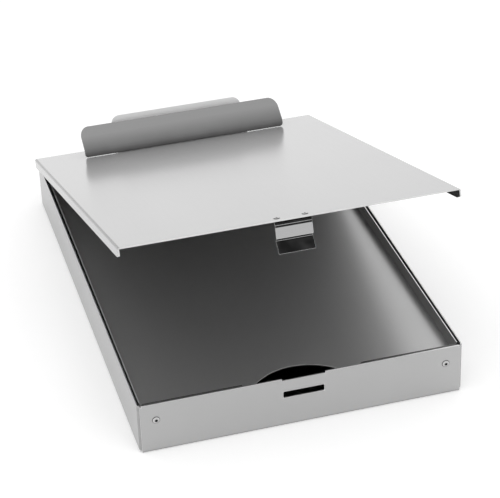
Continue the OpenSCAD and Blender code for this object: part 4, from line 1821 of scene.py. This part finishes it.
@dataclass
class Studio:
    """Pale floor, white surroundings and soft lamps, each with its place, size and watts."""

    floor_tone: float = 0.97
    floor_half: float = 6.0
    floor_roughness: float = 0.9
    floor_lift: float = 0.2
    sky_for_light: float = 0.8
    lamps: tuple[tuple[str, tuple[float, float, float], float, float], ...] = (
        ("top_softbox", (-0.5, -0.3, 2.4), 1.8, 12.0),
        ("front_softbox", (0.9, -2.0, 1.6), 1.2, 5.0),
    )

    def build(self) -> None:
        """Makes the floor, the world and the lamps."""
        self.lay_floor()
        self.surround()
        for name, place, size, power in self.lamps:
            self.hang_lamp(name, Vector(place), size, power)
        bpy.context.scene.view_settings.view_transform = "Standard"

    @staticmethod
    def seen_rays(tree: NodeTree) -> NodeSocket:
        """Adds the test for rays that show the background.

        Args:
            tree: the node tree.

        Returns:
            A socket that is 1 for camera, glossy and transmission rays.
        """
        ray = add_node(tree, "LightPath").outputs
        seen = reckon(tree, "ADD", ray["Is Camera Ray"], ray["Is Glossy Ray"])
        return reckon(tree, "ADD", seen, ray["Is Transmission Ray"], clamp=True)

    def lay_floor(self) -> None:
        """Makes the plain pale floor."""
        bm = bmesh.new()
        bmesh.ops.create_grid(bm, x_segments=1, y_segments=1, size=self.floor_half)
        mesh = to_mesh(bm, "studio_floor")
        material, tree, shader = start_material("studio_paper")
        shader.inputs["Base Color"].default_value = grey(self.floor_tone)
        shader.inputs["Roughness"].default_value = self.floor_roughness
        shader.inputs["Specular IOR Level"].default_value = 0.0
        shader.inputs["Emission Color"].default_value = (1, 1, 1, 1)
        lift = reckon(tree, "MULTIPLY", self.seen_rays(tree), self.floor_lift)
        feed(tree, shader.inputs["Emission Strength"], lift)
        mesh.materials.append(material)
        add_object("studio_floor", mesh)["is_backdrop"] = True

    def surround(self) -> None:
        """Makes the surroundings white to look at and dimmer as a light."""
        world = bpy.data.worlds.new("studio_surround")
        bpy.context.scene.world = world
        world.use_nodes = True
        tree = world.node_tree
        light = tree.nodes["Background"]
        light.inputs["Color"].default_value = (1, 1, 1, 1)
        light.inputs["Strength"].default_value = self.sky_for_light
        seen = add_node(tree, "Background", Color=(1, 1, 1, 1))
        choice = add_node(tree, "MixShader", Fac=self.seen_rays(tree))
        feed(tree, choice.inputs[1], light.outputs["Background"])
        feed(tree, choice.inputs[2], seen.outputs["Background"])
        feed(tree, tree.nodes["World Output"].inputs["Surface"], choice.outputs["Shader"])

    def hang_lamp(self, name: str, place: Vector, size: float, power: float) -> None:
        """Hangs a square soft lamp that faces the object and isn't seen in the metal.

        Args:
            name: its name.
            place: where it hangs.
            size: its side.
            power: its power in watts.
        """
        data = bpy.data.lights.new(name, "AREA")
        data.size = size
        data.energy = power
        lamp = add_object(name, data)
        lamp.visible_glossy = False
        lamp.location = place
        lamp.rotation_euler = (-place).to_track_quat("-Z", "Y").to_euler()


def corners(box: Sequence[Iterable[float]]) -> list[list[float]]:
    """Turns a box into plain lists of numbers."""
    return [[float(value) for value in corner] for corner in box]


def main() -> None:
    """Builds the camera, the studio and every sub-assembly."""
    logging.basicConfig(level=logging.INFO, format="%(name)s: %(message)s")
    PhotoCamera().build()
    Studio().build()
    shelf = EffectShelf()
    BoxBody(shelf, "box").build()
    WorkingTray(shelf, "tray").build()
    Lid(shelf, "lid").build()
    ClipBase(shelf, "lid").build()
    ClipJaw(shelf, "clip").build()
    ClipSprings(shelf).build()
    LatchStrip(shelf).build()
    {"cad": corners(cad_box), "visual": corners(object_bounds())}


if __name__ == "__main__":
    main()
